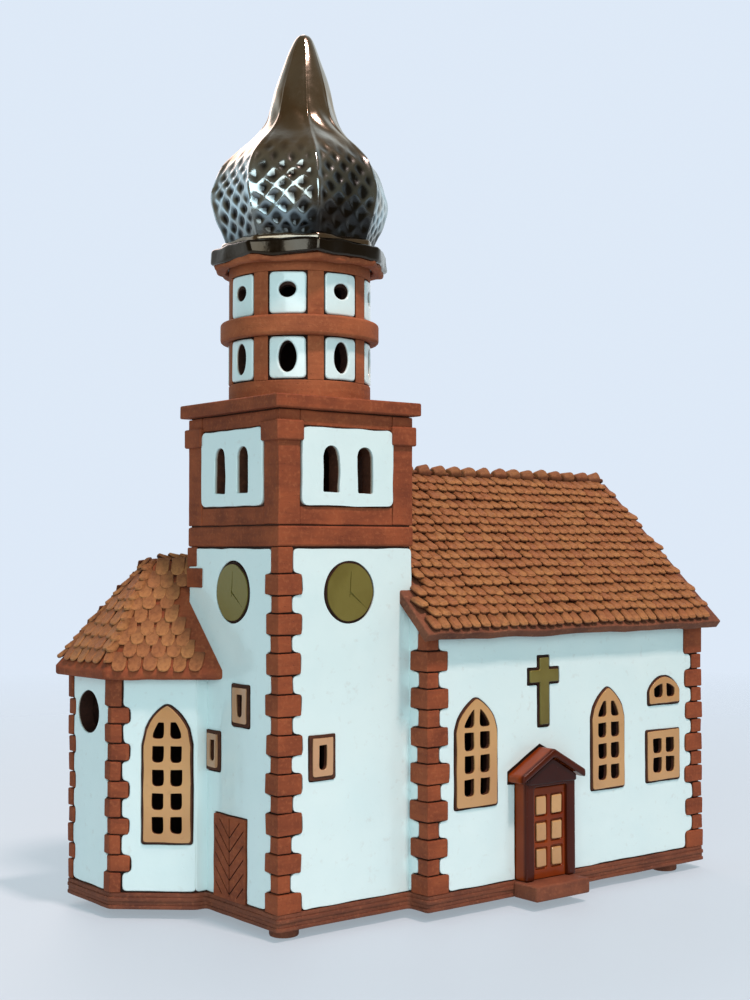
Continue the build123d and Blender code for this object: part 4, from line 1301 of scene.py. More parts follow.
@dataclass
class Cross(Relief):
    """Cross over the door: gold lustre on dark clay."""

    along: float = 49.6
    low: float = 49.0
    high: float = 72.2
    arm_z: float = 63.0
    arm_h: float = 5.2
    bar_half: float = 2.6
    arm_half: float = 7.15
    rim: float = 0.55
    gap: float = 0.35

    def shape(self, grow: float) -> Outline:
        """Outline of the cross, grown on every side.

        Args:
            grow: how far.
        Returns:
            The outline.
        """
        bar, half = self.bar_half + grow, self.arm_half + grow
        under, over = self.arm_z - grow, self.arm_z + self.arm_h + grow
        right = [(bar, self.low - grow), (bar, under), (half, under), (half, over), (bar, over)]
        return Outline.mirrored(self.along, [*right, (bar, self.high + grow)]).soft(0.5)

    def build(self) -> Outline:
        """Model and dress the cross.

        Returns:
            The outline that the wall's glaze keeps clear of.
        """
        back = Work.prism("wall_cross_clay", self.shape(0.0).wobbly(0.25, 4.0), -0.3, 0.8)
        front = Work.prism("wall_cross_face", self.shape(-self.rim).wobbly(0.2, 4.0), 0.3, 1.45)
        back.round_edges(0.22, 2)
        front.round_edges(0.4)
        self.hang(back, Finish.OXIDE, Slot.GOLD, "wall_cross")
        self.hang(front, Finish.GOLD, Slot.GOLD)
        return self.shape(self.gap)


@dataclass
class SideDoor(Relief):
    """Side door of the tower: a clay slab with a herring bone of scored lines."""

    along: float = 24.7
    half: float = 8.9
    height: float = 25.4
    proud: float = 1.2
    margin: float = 0.9
    seam: float = 0.24
    pitch: float = 4.3
    rise: float = 0.95
    line: float = 0.62
    gap: float = 0.35

    def scores(self) -> list[Work]:
        """Tools for the middle seam and the slanted lines on both sides of it.

        Returns:
            The tools.
        """
        x, top = self.along, self.height - self.margin - self.line
        seam = Outline.box(x - self.seam, self.margin, x + self.seam, self.height - 0.6)
        tools = Work.stamps([seam], 0.8, 3.0)
        for row in range(-2, 8):
            low = 1.2 + row * self.pitch
            start = max(0.0, (self.margin - low) / self.rise)
            stop = min(self.half - self.margin, (top - low) / self.rise)
            if stop - start < 1.5:
                continue
            slant = [(start, 0.0), (stop, 0.0), (stop, self.line), (start, self.line)]
            for side in (-1, 1):
                drawn = Outline((x + side * along, low + self.rise * along + up) for along, up in slant)
                tools += Work.stamps([drawn], 0.75, 3.0)
        return tools

    def build(self) -> Outline:
        """Model and dress the door.

        Returns:
            The outline that the wall's glaze keeps clear of.
        """
        x, clear = self.along, self.half + self.gap
        outline = Outline.box(x - self.half, -0.2, x + self.half, self.height).soft(0.6).wobbly(0.25, 8.0)
        door = Work.prism("side_door_planks", outline, -0.3, self.proud)
        door.cut(self.scores(), crossing=True).round_edges(0.14, 2, 50.0)
        # painted shade at the bottoms of the scored lines and on the lower part of the door's edge
        door.mark("soot", lambda point: 0.9 if point.z < 0.95 else 0.0)
        self.hang(door, Finish.CLAY, Slot.TERRACOTTA, "side_door")
        return Outline.box(x - clear, -1.0, x + clear, self.height + self.gap)


@dataclass
class MainDoor(Relief):
    """Main door: glazed porch and canopy, a dark pediment, a leaf with six panels and a step."""

    middle: float = 47.8
    leaf_half: float = 7.4
    leaf_h: float = 29.8
    leaf_z: float = 4.7
    pooled: float = 2.4
    dark_rim: float = 1.2
    gable_half: float = 11.2
    column: float = 3.55
    row: float = 8.5
    panels_up: float = 15.4
    bed_half: Point = (2.75, 3.5)
    panel_half: Point = (2.2, 2.95)
    panel_proud: float = 0.3
    porch_half: float = 11.6
    canopy_half: float = 14.8

    def porch(self) -> None:
        """Model the porch, its canopy and the pediment under it."""
        for node, width in (("porch_frame", 0.8), ("door_canopy", 0.85)):
            work = self.house.softened(node, node + "_glazed", width)
            front = min(vertex.co.y for vertex in work.piece.data.vertices)
            work.score(ALONG_Y, [front + self.pooled])
            work.mark("edge", lambda point, rim=front + self.dark_rim: 0.9 if point.y < rim else 0.0)
            self.house.deliver(work, Finish.BROWN, Slot.BROWN, node)
        sides = [(self.gable_half, 31.0), (self.gable_half, 33.2)]
        gable = Outline.mirrored(self.middle, sides, (0.0, 39.4)).soft(0.8).wobbly(0.2, 6.0)
        pediment = Work.prism("door_pediment", gable, 5.0, 6.7).round_edges(0.6)
        self.hang(pediment, Finish.UMBER, Slot.BROWN)

    def leaf(self) -> None:
        """Model the leaf with its sunk beds, and the tan panels in them."""
        middle = self.middle
        sides, levels = (-self.column, self.column), (-self.row, 0.0, self.row)
        spots = [(middle + side, self.panels_up + level) for side in sides for level in levels]
        wide, tall = self.bed_half
        beds = [Outline.about(x, up, wide, tall).soft(0.6).wobbly(0.2, x - wide) for x, up in spots]
        board = Outline.box(middle - self.leaf_half, 0.2, middle + self.leaf_half, self.leaf_h)
        leaf = Work.prism("main_door_leaf", board, 0.1, self.leaf_z)
        leaf.cut(Work.stamps(beds, 4.0, 6.0)).round_edges(0.3, 2)
        top = self.leaf_z + self.panel_proud
        faces = [Outline.about(x, up, *self.panel_half).soft(0.6).wobbly(0.2, up + x) for x, up in spots]
        panels = Work.joined("main_door_panels", Work.stamps(faces, 3.7, top)).round_edges(0.45)
        panels.mark("edge", lambda point: clamp((top - point.z) / 0.6))
        self.hang(leaf, Finish.BROWN, Slot.BROWN, "main_door")
        self.hang(panels, Finish.TAN, Slot.BROWN)

    def build(self) -> Outline:
        """Model and dress the door.

        Returns:
            The outline that the wall's glaze keeps clear of.
        """
        self.porch()
        self.leaf()
        step = self.house.softened("door_step", "door_step_slab", 0.7)
        self.house.deliver(step, Finish.PLINTH, Slot.TERRACOTTA, "door_step")
        inner, outer = self.porch_half, self.canopy_half
        right = [(inner, -1.0), (inner, 31.0), (outer, 31.2), (outer, 35.4)]
        return Outline.mirrored(self.middle, right, (0.0, 43.4))


@dataclass
class Walls:
    """Walls of tower, nave and choir with their quoins, glaze, windows, clocks, cross and doors."""

    house: House
    gap: float = 0.38
    snug: float = 0.25
    low: float = 0.4
    apse_out: float = 24.5
    apse_w: float = 27.2
    shoulder: float = 4.5
    root: float = 39.5

    def __post_init__(self) -> None:
        """Lay out the faces, the corner blocks and the windows."""
        plan, z = self.house.plan, self.house.plan.floor_z
        x, y, right, rear = plan.tower_x, plan.tower_y, plan.tower_right, plan.tower_rear
        self.holes: dict[str, list[Outline]] = defaultdict(list)
        self.tower_corner = (x, y)
        self.apse_rear = (x - self.apse_out, plan.choir_rear)
        self.apse_corner = (x - self.apse_out, plan.choir_rear - self.apse_w)
        self.apse_shoulder = (x - self.shoulder, y + self.root)
        self.apse_root = (x, y + self.root)
        self.choir_root = (right, plan.choir_rear)
        front_left, front_right = (right, plan.nave_front), (plan.nave_right, plan.nave_front)
        rear_right, rear_left = (plan.nave_right, plan.nave_rear), (right, plan.nave_rear)
        runs = {
            "tower_front": (self.tower_corner, (right, y)),
            "tower_left": ((x, rear), self.tower_corner),
            "tower_rear": ((right, rear), (x, rear)),
            "tower_right": ((right, y), (right, rear)),
            "nave_front": (front_left, front_right),
            "nave_end": (front_right, rear_right),
            "nave_rear": (rear_right, rear_left),
            "nave_return": ((right, y), front_left),
            "nave_gable": (rear_left, (right, rear)),
            "choir_rear": (self.choir_root, self.apse_rear),
            "choir_end": (self.apse_rear, self.apse_corner),
            "choir_diagonal": (self.apse_corner, self.apse_shoulder),
            "choir_stub": (self.apse_shoulder, self.apse_root),
        }
        self.faces = {name: WallFace(start, end, z) for name, (start, end) in runs.items()}
        nave_top, choir_top = z + plan.nave_wall_h - 1.4, z + plan.choir_wall_h - 0.3
        shaft_top = z + plan.shaft_h - 0.2
        corners = {
            "tower_quoins": (
                ("tower_left", "tower_front", z, shaft_top, 3, Reach.TOGETHER, 0.76),
                ("tower_rear", "tower_left", z + 95.5, shaft_top, 5),
            ),
            "nave_quoins": (
                ("nave_return", "nave_front", z, nave_top, 7),
                ("nave_front", "nave_end", z, nave_top, 11),
                ("nave_end", "nave_rear", z, nave_top, 13),
                ("nave_rear", "nave_gable", z, nave_top, 17, Reach.TOGETHER, 1.0, 0.5),
            ),
            "choir_quoins": (
                ("choir_end", "choir_diagonal", z, choir_top + 1.4, 19, Reach.IN_TURN, 0.45, 0.72),
                ("choir_rear", "choir_end", z, choir_top, 23, Reach.IN_TURN, 0.72, 0.36),
            ),
        }
        self.columns = {
            node: [QuoinColumn(self.faces[one], self.faces[other], *sizes) for one, other, *sizes in rows]
            for node, rows in corners.items()
        }
        self.windows = {name: (face, WindowSpec(*sizes)) for name, (face, *sizes) in WINDOWS.items()}

    def stepped(self, face: str, top: float) -> list[Point]:
        """Outline of a glaze sheet between the quoins of a wall's two corners.

        Args:
            face: the wall.
            top: height of its upper edge over the floor.
        Returns:
            The corners of the outline.
        """
        wall, floor = self.faces[face], self.house.plan.floor_z
        right = [(wall.length + self.snug, self.low), (wall.length + self.snug, top)]
        left = [(-self.snug, self.low), (-self.snug, top)]
        for column in chain(*self.columns.values()):
            if column.low == floor and column.before is wall:
                steps = column.steps(False, top + floor, self.gap)
                right = [(wall.length - reach, up) for reach, up in steps]
            if column.low == floor and column.after is wall:
                left = column.steps(True, top + floor, self.gap)
        outline = [(x, min(max(up, self.low), top)) for x, up in right + left[::-1]]
        return [point for index, point in enumerate(outline) if point != outline[index - 1]]

    def quoins(self) -> None:
        """Model the corner blocks."""
        for index, (node, columns) in enumerate(self.columns.items()):
            blocks = [block for column in columns for block in column.build()]
            work = Work.joined(node + "_cut", blocks).round_edges(0.42, 2).uneven(0.16, 6.0, index + 1.0)
            self.house.deliver(work, Finish.CLAY, Slot.TERRACOTTA, node)

    def frames(self) -> None:
        """Model the window frames; one solid holds both slits of the tower's left wall."""
        nodes = {"tower_window_upper": ("tower_windows_left",), "tower_window_lower": ()}
        for index, (name, (face, spec)) in enumerate(self.windows.items()):
            glaze, outline_w = (Finish.BUFF, 1.0) if spec.columns == 1 else (Finish.TAN, 0.45)
            seed = index * 11.0 + 1.0
            frame = WindowFrame(self.house, self.faces[face], name + "_relief", spec, glaze, outline_w, seed)
            self.holes[face].append(frame.build(*nodes.get(name, (name,))))

    def reliefs(self) -> None:
        """Model the clocks, the cross and the doors."""
        front, left, nave = (self.faces[name] for name in ("tower_front", "tower_left", "nave_front"))
        made = (
            ("tower_front", Clock(self.house, front, "clock_front", 2.0)),
            ("tower_left", Clock(self.house, left, "clock_left", 3.0)),
            ("nave_front", Cross(self.house, nave)),
            ("tower_left", SideDoor(self.house, left)),
            ("nave_front", MainDoor(self.house, nave)),
        )
        for face, relief in made:
            self.holes[face].append(relief.build())

    def glaze(self) -> None:
        """Model the white glaze of every wall, clear of what is on it."""
        plan = self.house.plan
        rise = math.tan(plan.slope)
        nave_top, choir_top = plan.nave_wall_h - 1.0, plan.choir_wall_h + 1.0
        shaft_top = plan.shaft_h - 0.7
        tops = {
            "tower_front": shaft_top, "tower_left": shaft_top, "nave_front": nave_top,
            "nave_return": nave_top + 6.0, "nave_rear": nave_top, "choir_diagonal": choir_top,
            "choir_end": choir_top, "choir_rear": choir_top, "choir_stub": choir_top + 4.0,
        }
        sheets = {face: self.stepped(face, top) for face, top in tops.items()}
        sheets["tower_rear"] = Outline.box(0.5, 92.0, plan.tower_side - 8.2, shaft_top).points
        sheets["tower_right"] = [(0.5, 88.0), (16.0, 104.0), (16.0, shaft_top), (0.5, shaft_top)]
        end = self.stepped("nave_end", nave_top)
        half = self.faces["nave_end"].length / 2
        split = next(index for index, point in enumerate(end) if point[0] < half)
        sheets["nave_end"] = [*end[:split], (half, nave_top + half * rise - 1.0), *end[split:]]
        inner = self.faces["nave_gable"].length - 0.5
        reach = self.columns["nave_quoins"][-1].blocks[0].after + self.gap
        sheets["nave_gable"] = [
            (reach, 0.6), (inner, 0.6), (inner, 108.0),
            (30.0, nave_top + 30.0 * rise - 1.0), (reach, nave_top + 6.0),
        ]
        for index, (face, points) in enumerate(sheets.items()):
            seed = index * 3.0 + 1.0
            outline, holes = Outline(points), self.holes[face]
            GlazeSheet(self.house, self.faces[face], face + "_glaze", outline, holes, seed).build()

    def build(self) -> None:
        """Model and dress everything on the walls."""
        rooms, sides = ("tower_", "nave_", "choir_"), ("_wall", "_return", "_gable")
        for node in self.house.frame["nodes"]:
            if node.startswith(rooms) and node.endswith(sides):
                self.house.paint_node(node, Finish.OXIDE)
        self.quoins()
        self.frames()
        self.reliefs()
        self.holes["choir_end"].append(Outline.oval(11.8, 55.3, 7.3, 6.8, 44))
        self.holes["nave_rear"].append(WindowSpec(66.0, -1.0, 46.6, 45.3, 23.3).arch())
        self.glaze()


@dataclass
class RoofFace:
    """One tiled slope: its eave, its run uphill and the outline that its tiles keep to."""

    matrix: Matrix
    inside: Callable[[float, float], bool]
    width: float
    length: float
    setback: float


@dataclass(frozen=True)
class TileKind:
    """Shape of one kind of roof tile."""

    width: float
    exposure: float
    thick: float
    tail: float
    lift: float
    square: float = 2.4
    fit: float = 0.905

    def build(self, seed: int) -> Work:
        """Model one tile with a rounded foot.

        Args:
            seed: which variant.
        Returns:
            The tile, its foot at the origin and local Y uphill.
        """
        chance = random.Random(seed)
        half = self.width / 2 * (self.fit + chance.uniform(-0.045, 0.045))
        low = chance.uniform(-0.14, 0.14) * half
        points = []
        steps = 8
        for step in range(steps + 1):
            x = -half + 2 * half * (step / steps)
            span = (x - low) / (half + low if x < low else half - low)
            points.append((x, self.tail * (1.0 - math.sqrt(max(0.0, 1.0 - abs(span) ** self.square)))))
        top = self.exposure + self.tail + 0.6
        tile = Work.prism("tile", Outline([*points, (half, top), (-half, top)]), 0.0, self.thick)
        tile.round_edges(self.thick * 0.34, 1, 50.0)
        # painted shade on the lower half of the tile's thickness, and rising over its upper part, which the
        # next course covers
        under = self.thick * 0.5
        return tile.mark("depth", lambda point: 0.9 if point.z < under else max(0.0, point.y / top - 0.4))


@dataclass
class Roofs:
    """Slabs, tiles and ridges of the nave and the choir."""

    house: House
    walls: Walls
    nave_tile: TileKind = TileKind(4.15, 4.35, 1.7, 0.95, 0.75, 3.4, 0.86)
    choir_tile: TileKind = TileKind(4.8, 4.5, 0.62, 2.0, 0.4)
    end_tile: TileKind = TileKind(5.0, 4.7, 0.95, 1.4, 0.5)
    hip_tile: TileKind = TileKind(4.7, 3.3, 1.3, 1.7, 0.0)
    variants: int = 4
    first_raised: float = 0.15
    wander: float = 0.35
    ridge_pitch: float = 7.3
    ridge_tile: float = 4.8
    ridge_r: float = 2.5
    hip_pitch: float = 3.9
    choir_eave: float = 4.5
    choir_rise: float = 35.0

    def tiled(self, node: str, face: RoofFace, kind: TileKind, seed: int) -> None:
        """Lay the tiles of one slope.

        Args:
            node: solid that the tiles stand for.
            face: the slope.
            kind: the tile.
            seed: which run of chance.
        """
        chance = random.Random(seed)
        variants = [kind.build(seed * 10 + index) for index in range(self.variants)]
        tilt = math.atan(kind.thick * kind.lift / kind.exposure)
        rest = kind.thick * kind.lift * (1.0 + kind.tail / kind.exposure)
        tiles = []
        courses = int((face.length - face.setback - kind.tail) / kind.exposure) + 1
        columns = int(face.width / kind.width) + 3
        for course in range(courses):
            raised = 1.0 if course else self.first_raised
            for column in range(-columns, columns + 1):
                x = (column + 0.5 * (course % 2)) * kind.width + chance.uniform(-0.3, 0.3)
                wander = self.wander * math.sin(x * 0.11 + course * 1.7) if course else 0.0
                y = face.setback + course * kind.exposure + wander + chance.uniform(-0.3, 0.3)
                if not face.inside(x, y):
                    continue
                spot = Matrix.Translation((x, y, rest * raised + chance.uniform(-0.05, 0.16)))
                turn = Matrix.Rotation(math.radians(chance.gauss(0.0, 4.2)), 4, "Z")
                lean = Matrix.Rotation(-tilt * raised * chance.uniform(0.92, 1.2), 4, "X")
                roll = Matrix.Rotation(math.radians(chance.gauss(0.0, 2.5)), 4, "Y")
                variant = variants[chance.randrange(self.variants)]
                tile = variant.twin(face.matrix @ spot @ turn @ lean @ roll)
                tiles.append(tile.mark("tone", chance.random()))
        for variant in variants:
            variant.drop()
        laid = Work.joined(node + "_laid", tiles)
        self.house.deliver(laid, Finish.TILE, Slot.TILE, node, angle=38.0, weighted=False)

    def nave_slope(self, front: bool) -> Matrix:
        """Frame of a nave slope: along the eave, uphill and out.

        Args:
            front: whether it is the front slope.
        Returns:
            The frame.
        """
        plan, side = self.house.plan, 1.0 if front else -1.0
        along = ALONG_X * side
        uphill = Vector((0.0, side * math.cos(plan.slope), math.sin(plan.slope)))
        eave_y = plan.nave_front - plan.eave if front else plan.nave_rear + plan.eave
        return axes(along, uphill, along.cross(uphill), Vector((0.0, eave_y, plan.eave_z)))

    def nave(self) -> None:
        """Model the nave's slabs, tiles and ridge."""
        plan = self.house.plan
        start, stop = plan.tower_right, plan.nave_right + plan.verge
        level = plan.eave_z + 3.0
        layout = (
            (True, "front", plan.tower_y - plan.nave_front, 0.9, 31),
            (False, "rear", plan.nave_rear - plan.tower_rear, 3.5, 37),
        )
        for front, name, depth, setback, seed in layout:
            node = f"nave_roof_{name}"
            slab = self.house.softened(node, node + "_slab", 1.25)
            slab.score(ALONG_X, range(-30, 106, 4)).uneven(0.6, 9.0, 5.0, UPRIGHT)
            # painted shade, faint, along the lower edge of the eave
            slab.mark("soot", lambda point: 0.05 if point.z < level and point.x > start - 3.0 else 0.0)
            self.house.deliver(slab, Finish.EDGE, Slot.TERRACOTTA, node)
            clear = (depth + plan.eave) / math.cos(plan.slope)

            def inside(x: float, y: float, side: int = 1 if front else -1, clear: float = clear) -> bool:
                """Whether a tile at this place lies on the slab and clear of the tower."""
                edge = start + 3.0 if y > clear - 5.0 else start - 1.7 + 0.05 * y
                return edge < x * side < stop - 3.4 and y < plan.slope_length - 3.2

            face = RoofFace(self.nave_slope(front), inside, stop + 20.0, plan.slope_length, setback)
            self.tiled(f"nave_{name}_tiles", face, self.nave_tile, seed)

    def ridge(self) -> None:
        """Lay the humped tiles of the nave's ridge."""
        plan, length = self.house.plan, self.ridge_tile
        start, stop = plan.tower_right, plan.nave_right + plan.verge
        chance = random.Random(41)
        top = plan.eave_z + plan.slope_length * math.sin(plan.slope) + 1.3
        quarter = {"value": math.pi / 2, "orient_axis": "Y", "center_override": (0.0, 0.0, 0.0)}

        def hump(point: Vector) -> Point:
            """Widen and raise a tile towards its far end."""
            share = 0.5 + point.x / length
            return (point.x, point.y * (0.8 + 0.4 * share), point.z * (0.75 + 0.45 * share))

        tiles = []
        for index in range(int((stop - start - 1.0) / self.ridge_pitch)):
            add = bpy.ops.mesh.primitive_cylinder_add
            tile = Work.start("tile", add, vertices=18, radius=self.ridge_r, depth=length)
            tile.edit(lambda: bpy.ops.transform.rotate(**quarter)).bend(hump)
            tile.round_edges(0.7).uneven(0.6, 4.0, index + 3.0)
            # painted shade on the lower half of each ridge tile, and 0.4 of the same dark over the rest
            tile.mark("depth", lambda point: 0.75 if point.z < 0.1 else 0.4).mark("tone", chance.random())
            lean = Matrix.Rotation(math.radians(chance.gauss(0.0, 6.0)), 4, "Z")
            x, y = start + 3.4 + index * self.ridge_pitch, plan.ridge_y + chance.gauss(0.0, 0.3)
            tiles.append(tile.stand(Matrix.Translation((x, y, top)) @ lean))
        self.house.deliver(Work.joined("ridge_tiles_laid", tiles), Finish.TILE, Slot.TILE, "ridge_tiles")

    def choir(self) -> None:
        """Model the choir's slab, tiles and hips."""
        plan, walls = self.house.plan, self.walls
        slab = self.house.softened("choir_roof", "choir_roof_slab", 1.3)
        slab.score(ALONG_X, range(-104, -30, 4)).uneven(0.5, 8.0, 6.0, UPRIGHT)
        self.house.deliver(slab, Finish.CLAY, Slot.TERRACOTTA, "choir_roof")
        eave_z = plan.floor_z + plan.choir_wall_h + 3.0
        apex = Vector((plan.tower_x - 5.0, plan.tower_rear + plan.choir_bay / 2, eave_z + self.choir_rise))
        line = [walls.apse_shoulder, walls.apse_corner, walls.apse_rear, walls.choir_root]
        eaves = self.outset(line, self.choir_eave)
        foot = eaves[1] + (eaves[0] - eaves[1]) * ((plan.tower_x - eaves[1].x) / (eaves[0].x - eaves[1].x))
        layout = (
            ("choir_diagonal_tiles", eaves[1], foot, self.choir_tile, -0.6, 43),
            ("choir_end_tiles", eaves[2], eaves[1], self.end_tile, 1.55, 47),
            ("choir_rear_tiles", eaves[3], eaves[2], self.choir_tile, 1.55, 53),
        )
        for node, left, right, kind, setback, seed in layout:
            left, right = left.to_3d() + UPRIGHT * eave_z, right.to_3d() + UPRIGHT * eave_z
            along = (right - left).normalized()
            out = along.cross(apex - left).normalized()
            uphill = out.cross(along)
            middle, half = (left + right) / 2, (right - left).length / 2
            matrix = axes(along, uphill, out, middle)
            peak = ((apex - middle).dot(along), (apex - middle).dot(uphill))

            def inside(
                x: float, y: float,
                node: str = node, half: float = half, peak: Point = peak, matrix: Matrix = matrix,
            ) -> bool:
                """Find whether a place lies between the hips and clear of the tower.

                Args:
                    x: place along the eave.
                    y: place uphill.
                    node: the slope's tiles.
                    half: half of its eave.
                    peak: its top.
                    matrix: its frame.
                Returns:
                    Whether a tile goes there.
                """
                share = (y + 2.0) / peak[1]
                spot = matrix @ Vector((x, y + 2.0, 0.0))
                low = -half + (peak[0] + half) * share + 1.3
                high = half + (peak[0] - half) * share - 1.3
                if node == "choir_rear_tiles":
                    low = 4.5 - half
                if node == "choir_diagonal_tiles":
                    high = 2.0 * half
                    if spot.y < plan.tower_rear + 2.5 and spot.x > plan.tower_x - 4.6:
                        return False
                return low < x < high and y < peak[1] - 5.5 and spot.x < plan.tower_right - 3.0

            self.tiled(node, RoofFace(matrix, inside, 2 * half + 20.0, peak[1] + 1.5, setback), kind, seed)
        foots = [corner.to_3d() + UPRIGHT * eave_z for corner in eaves[1:3]]
        ridge_end = Vector((plan.tower_right - 5.0, apex.y, apex.z))
        self.hips([(foots[0], apex, 59), (foots[1], apex, 61), (apex, ridge_end, 67)])

    def hips(self, lines: Sequence[tuple[Vector, Vector, int]]) -> None:
        """Lay small bent tiles up the hips and along the ridge of the choir.

        Args:
            lines: start, end and seed of each hip or ridge.
        """
        tiles = []
        for low, high, seed in lines:
            chance = random.Random(seed)
            run = high - low
            uphill = run.normalized()
            across = uphill.cross(UPRIGHT).normalized()
            count = int(run.length / self.hip_pitch)
            for index in range(count - 1):
                tile = self.hip_tile.build(seed + index)
                tile.bend(lambda point: (point.x * 0.86, point.y, point.z - 0.2 * point.x**2))
                tile.mark("tone", chance.random())
                spot = axes(across, uphill, across.cross(uphill), low + run * ((index + 0.55) / count))
                lift = Matrix.Translation((chance.gauss(0.0, 0.25), 0.0, 0.25 + chance.uniform(0.0, 0.3)))
                lean = Matrix.Rotation(math.radians(-5.0 + chance.gauss(0.0, 2.0)), 4, "X")
                turn = Matrix.Rotation(math.radians(chance.gauss(0.0, 8.0)), 4, "Z")
                tiles.append(tile.stand(spot @ lift @ turn @ lean))
        self.house.deliver(Work.joined("choir_hip_tiles", tiles), Finish.TILE, Slot.TILE)

    @staticmethod
    def outset(line: Sequence[Point], distance: float) -> list[Vector]:
        """Corners of a wall line moved outwards, with mitred corners.

        Args:
            line: corners, with the inside on the right hand.
            distance: how far.
        Returns:
            The moved corners.
        """
        points = [Vector(point) for point in line]
        runs = [(b - a).normalized() for a, b in zip(points, points[1:])]
        sides = [Vector((-run.y, run.x)) for run in runs]
        made = [points[0] + sides[0] * distance]
        for point, one, other in zip(points[1:-1], sides, sides[1:]):
            made.append(point + (one + other) * (distance / (1.0 + one.dot(other))))
        return made + [points[-1] + sides[-1] * distance]


@dataclass
class Belfry:
    """Belfry on the tower: band, framed panels with paired windows, capitals and cap slab."""

    house: House
    height: float = 35.1
    frame: float = 0.75
    panel_low: float = 5.8
    panel_high: float = 30.3
    panel_side: float = 7.2
    panel_gap: float = 0.4
    light_w: float = 6.2
    light_h: float = 14.2
    light_sill: float = 10.3
    lights_along: Point = (18.5, 31.5)

    def lights(self) -> list[Outline]:
        """Outlines of the two windows of a side.

        Returns:
            The outlines.
        """
        outlines = []
        for along in self.lights_along:
            spec = WindowSpec(along, self.light_sill, self.light_w, self.light_h, self.light_w / 2)
            outlines.append(spec.arch().soft(0.5).wobbly(0.3, along, 1.6))
        return outlines

    def boards(self, name: str, face: WallFace, past: float) -> None:
        """Model the posts and rails that frame one side.

        Args:
            name: name of the side.
            face: its outer face.
            past: how far its posts run past the corners.
        """
        side, rail, thin = self.house.plan.tower_side, self.panel_side, self.frame * 0.75
        low, top = 0.4, self.height - 0.35
        layout = (
            (-past, low, rail, top, self.frame),
            (side - rail, low, side + past, top, self.frame),
            (rail + 0.1, low, side - rail - 0.1, self.panel_low, thin),
            (rail + 0.1, self.panel_high, side - rail - 0.1, top, thin),
        )
        boards = []
        for x0, y0, x1, y1, proud in layout:
            outline = Outline.box(x0, y0, x1, y1).soft(0.4).wobbly(0.25, x0 + y0)
            boards.append(Work.prism("board", outline, -0.2, proud))
        frame = Work.joined(f"belfry_{name}_frame", boards).round_edges(0.32, 2)
        self.house.deliver(frame, Finish.CLAY, Slot.TERRACOTTA, at=face.matrix, angle=50.0)

    def build(self) -> None:
        """Model and dress the belfry."""
        house, plan, gap = self.house, self.house.plan, self.panel_gap
        x, y, right, rear = plan.tower_x, plan.tower_y, plan.tower_right, plan.tower_rear
        corners = {"front": (x, y), "right": (right, y), "rear": (right, rear), "left": (x, rear)}
        inset = self.panel_side + gap
        panel = Outline.box(inset, self.panel_low + gap, plan.tower_side - inset, self.panel_high - gap)
        ends = [*list(corners.values())[1:], (x, y)]
        for index, ((name, start), end) in enumerate(zip(corners.items(), ends)):
            face = WallFace(start, end, plan.band_top)
            house.paint_node(f"belfry_{name}_wall", Finish.LINING)
            self.boards(name, face, self.frame if name in ("front", "rear") else -0.05)
            seed, sizes = index + 60.0, {"thick": 1.2, "round_w": 1.15}
            glaze = panel.soft(2.4, 5)
            GlazeSheet(house, face, f"belfry_{name}_panel", glaze, self.lights(), seed, **sizes).build()
        for node, width in (("belfry_band", 0.9), ("belfry_cap_slab", 1.1), ("belfry_capitals", 0.55)):
            work = house.softened(node, node + "_slab", width).uneven(0.3, 14.0, len(node))
            house.deliver(work, Finish.CLAY, Slot.TERRACOTTA, node)


@dataclass
class Drum:
    """Round drum: posts, rings and two tiers of white panels with holes."""

    house: House
    radius: float = 21.9
    foot: float = 162.0
    ring_h: float = 5.6
    tier_h: float = 13.8
    band_h: float = 6.2
    bays: int = 8
    panel_half: float = 14.9
    panel_low: float = 0.45
    panel_high: float = 13.5
    thick: float = 0.85
    hole_w: float = 5.4

    def panel(self, low: float, high: float, hole_h: float, lift: float) -> Work:
        """Model one curved panel in front of the axis, facing local X.

        Args:
            low: level of its lower edge.
            high: level of its upper edge.
            hole_h: height of its hole.
            lift: how far the hole sits over the middle.
        Returns:
            The panel.
        """
        half = self.radius * math.radians(self.panel_half)
        hole = Outline.oval(0.0, (low + high) / 2 + lift, self.hole_w / 2, hole_h / 2, 32)
        panel = Work.prism("panel", Outline.box(-half, low, half, high).soft(1.6, 5), -0.3, self.thick)
        panel.cut(Work.stamps([hole], -4.0, 4.0)).round_edges(0.7, 4)
        panel.mark("edge", lambda point: clamp((self.thick - point.z) / 0.8))
        panel.score(ALONG_X, [step * 1.15 for step in range(-4, 5)])

        def wrap(point: Vector) -> Sequence[float]:
            """Lay a point of the flat panel round the drum."""
            turn, reach = point.x / self.radius, self.radius + point.z
            return (reach * math.cos(turn), reach * math.sin(turn), point.y)

        return panel.bend(wrap)

    def build(self) -> None:
        """Model and dress the drum."""
        house, middle = self.house, Matrix.Translation(self.house.plan.tower_middle)
        low = self.foot + self.ring_h
        high = low + self.tier_h + self.band_h
        panels = []
        for level, hole_h, lift in ((low, 9.7, 0.3), (high, 4.8, 1.0)):
            first = self.panel(level + self.panel_low, level + self.panel_high, hole_h, lift)
            for bay in range(self.bays):
                panels.append(first.twin(middle @ Matrix.Rotation(math.tau * bay / self.bays, 4, "Z")))
            first.drop()
        glazed = Work.joined("drum_panels", panels).uneven(0.18, 5.0, 71.0)
        house.deliver(glazed, Finish.WHITE, Slot.WHITE)
        house.paint_node("drum_shell", Finish.OXIDE)
        rings = {"drum_foot_ring": 0.3, "drum_band": 0.9, "drum_head_ring": 0.3, "drum_posts": 0.22}
        for node, width in rings.items():
            ring = house.softened(node, node + "_clay", width)
            house.deliver(ring, Finish.DRUM, Slot.TERRACOTTA, node)


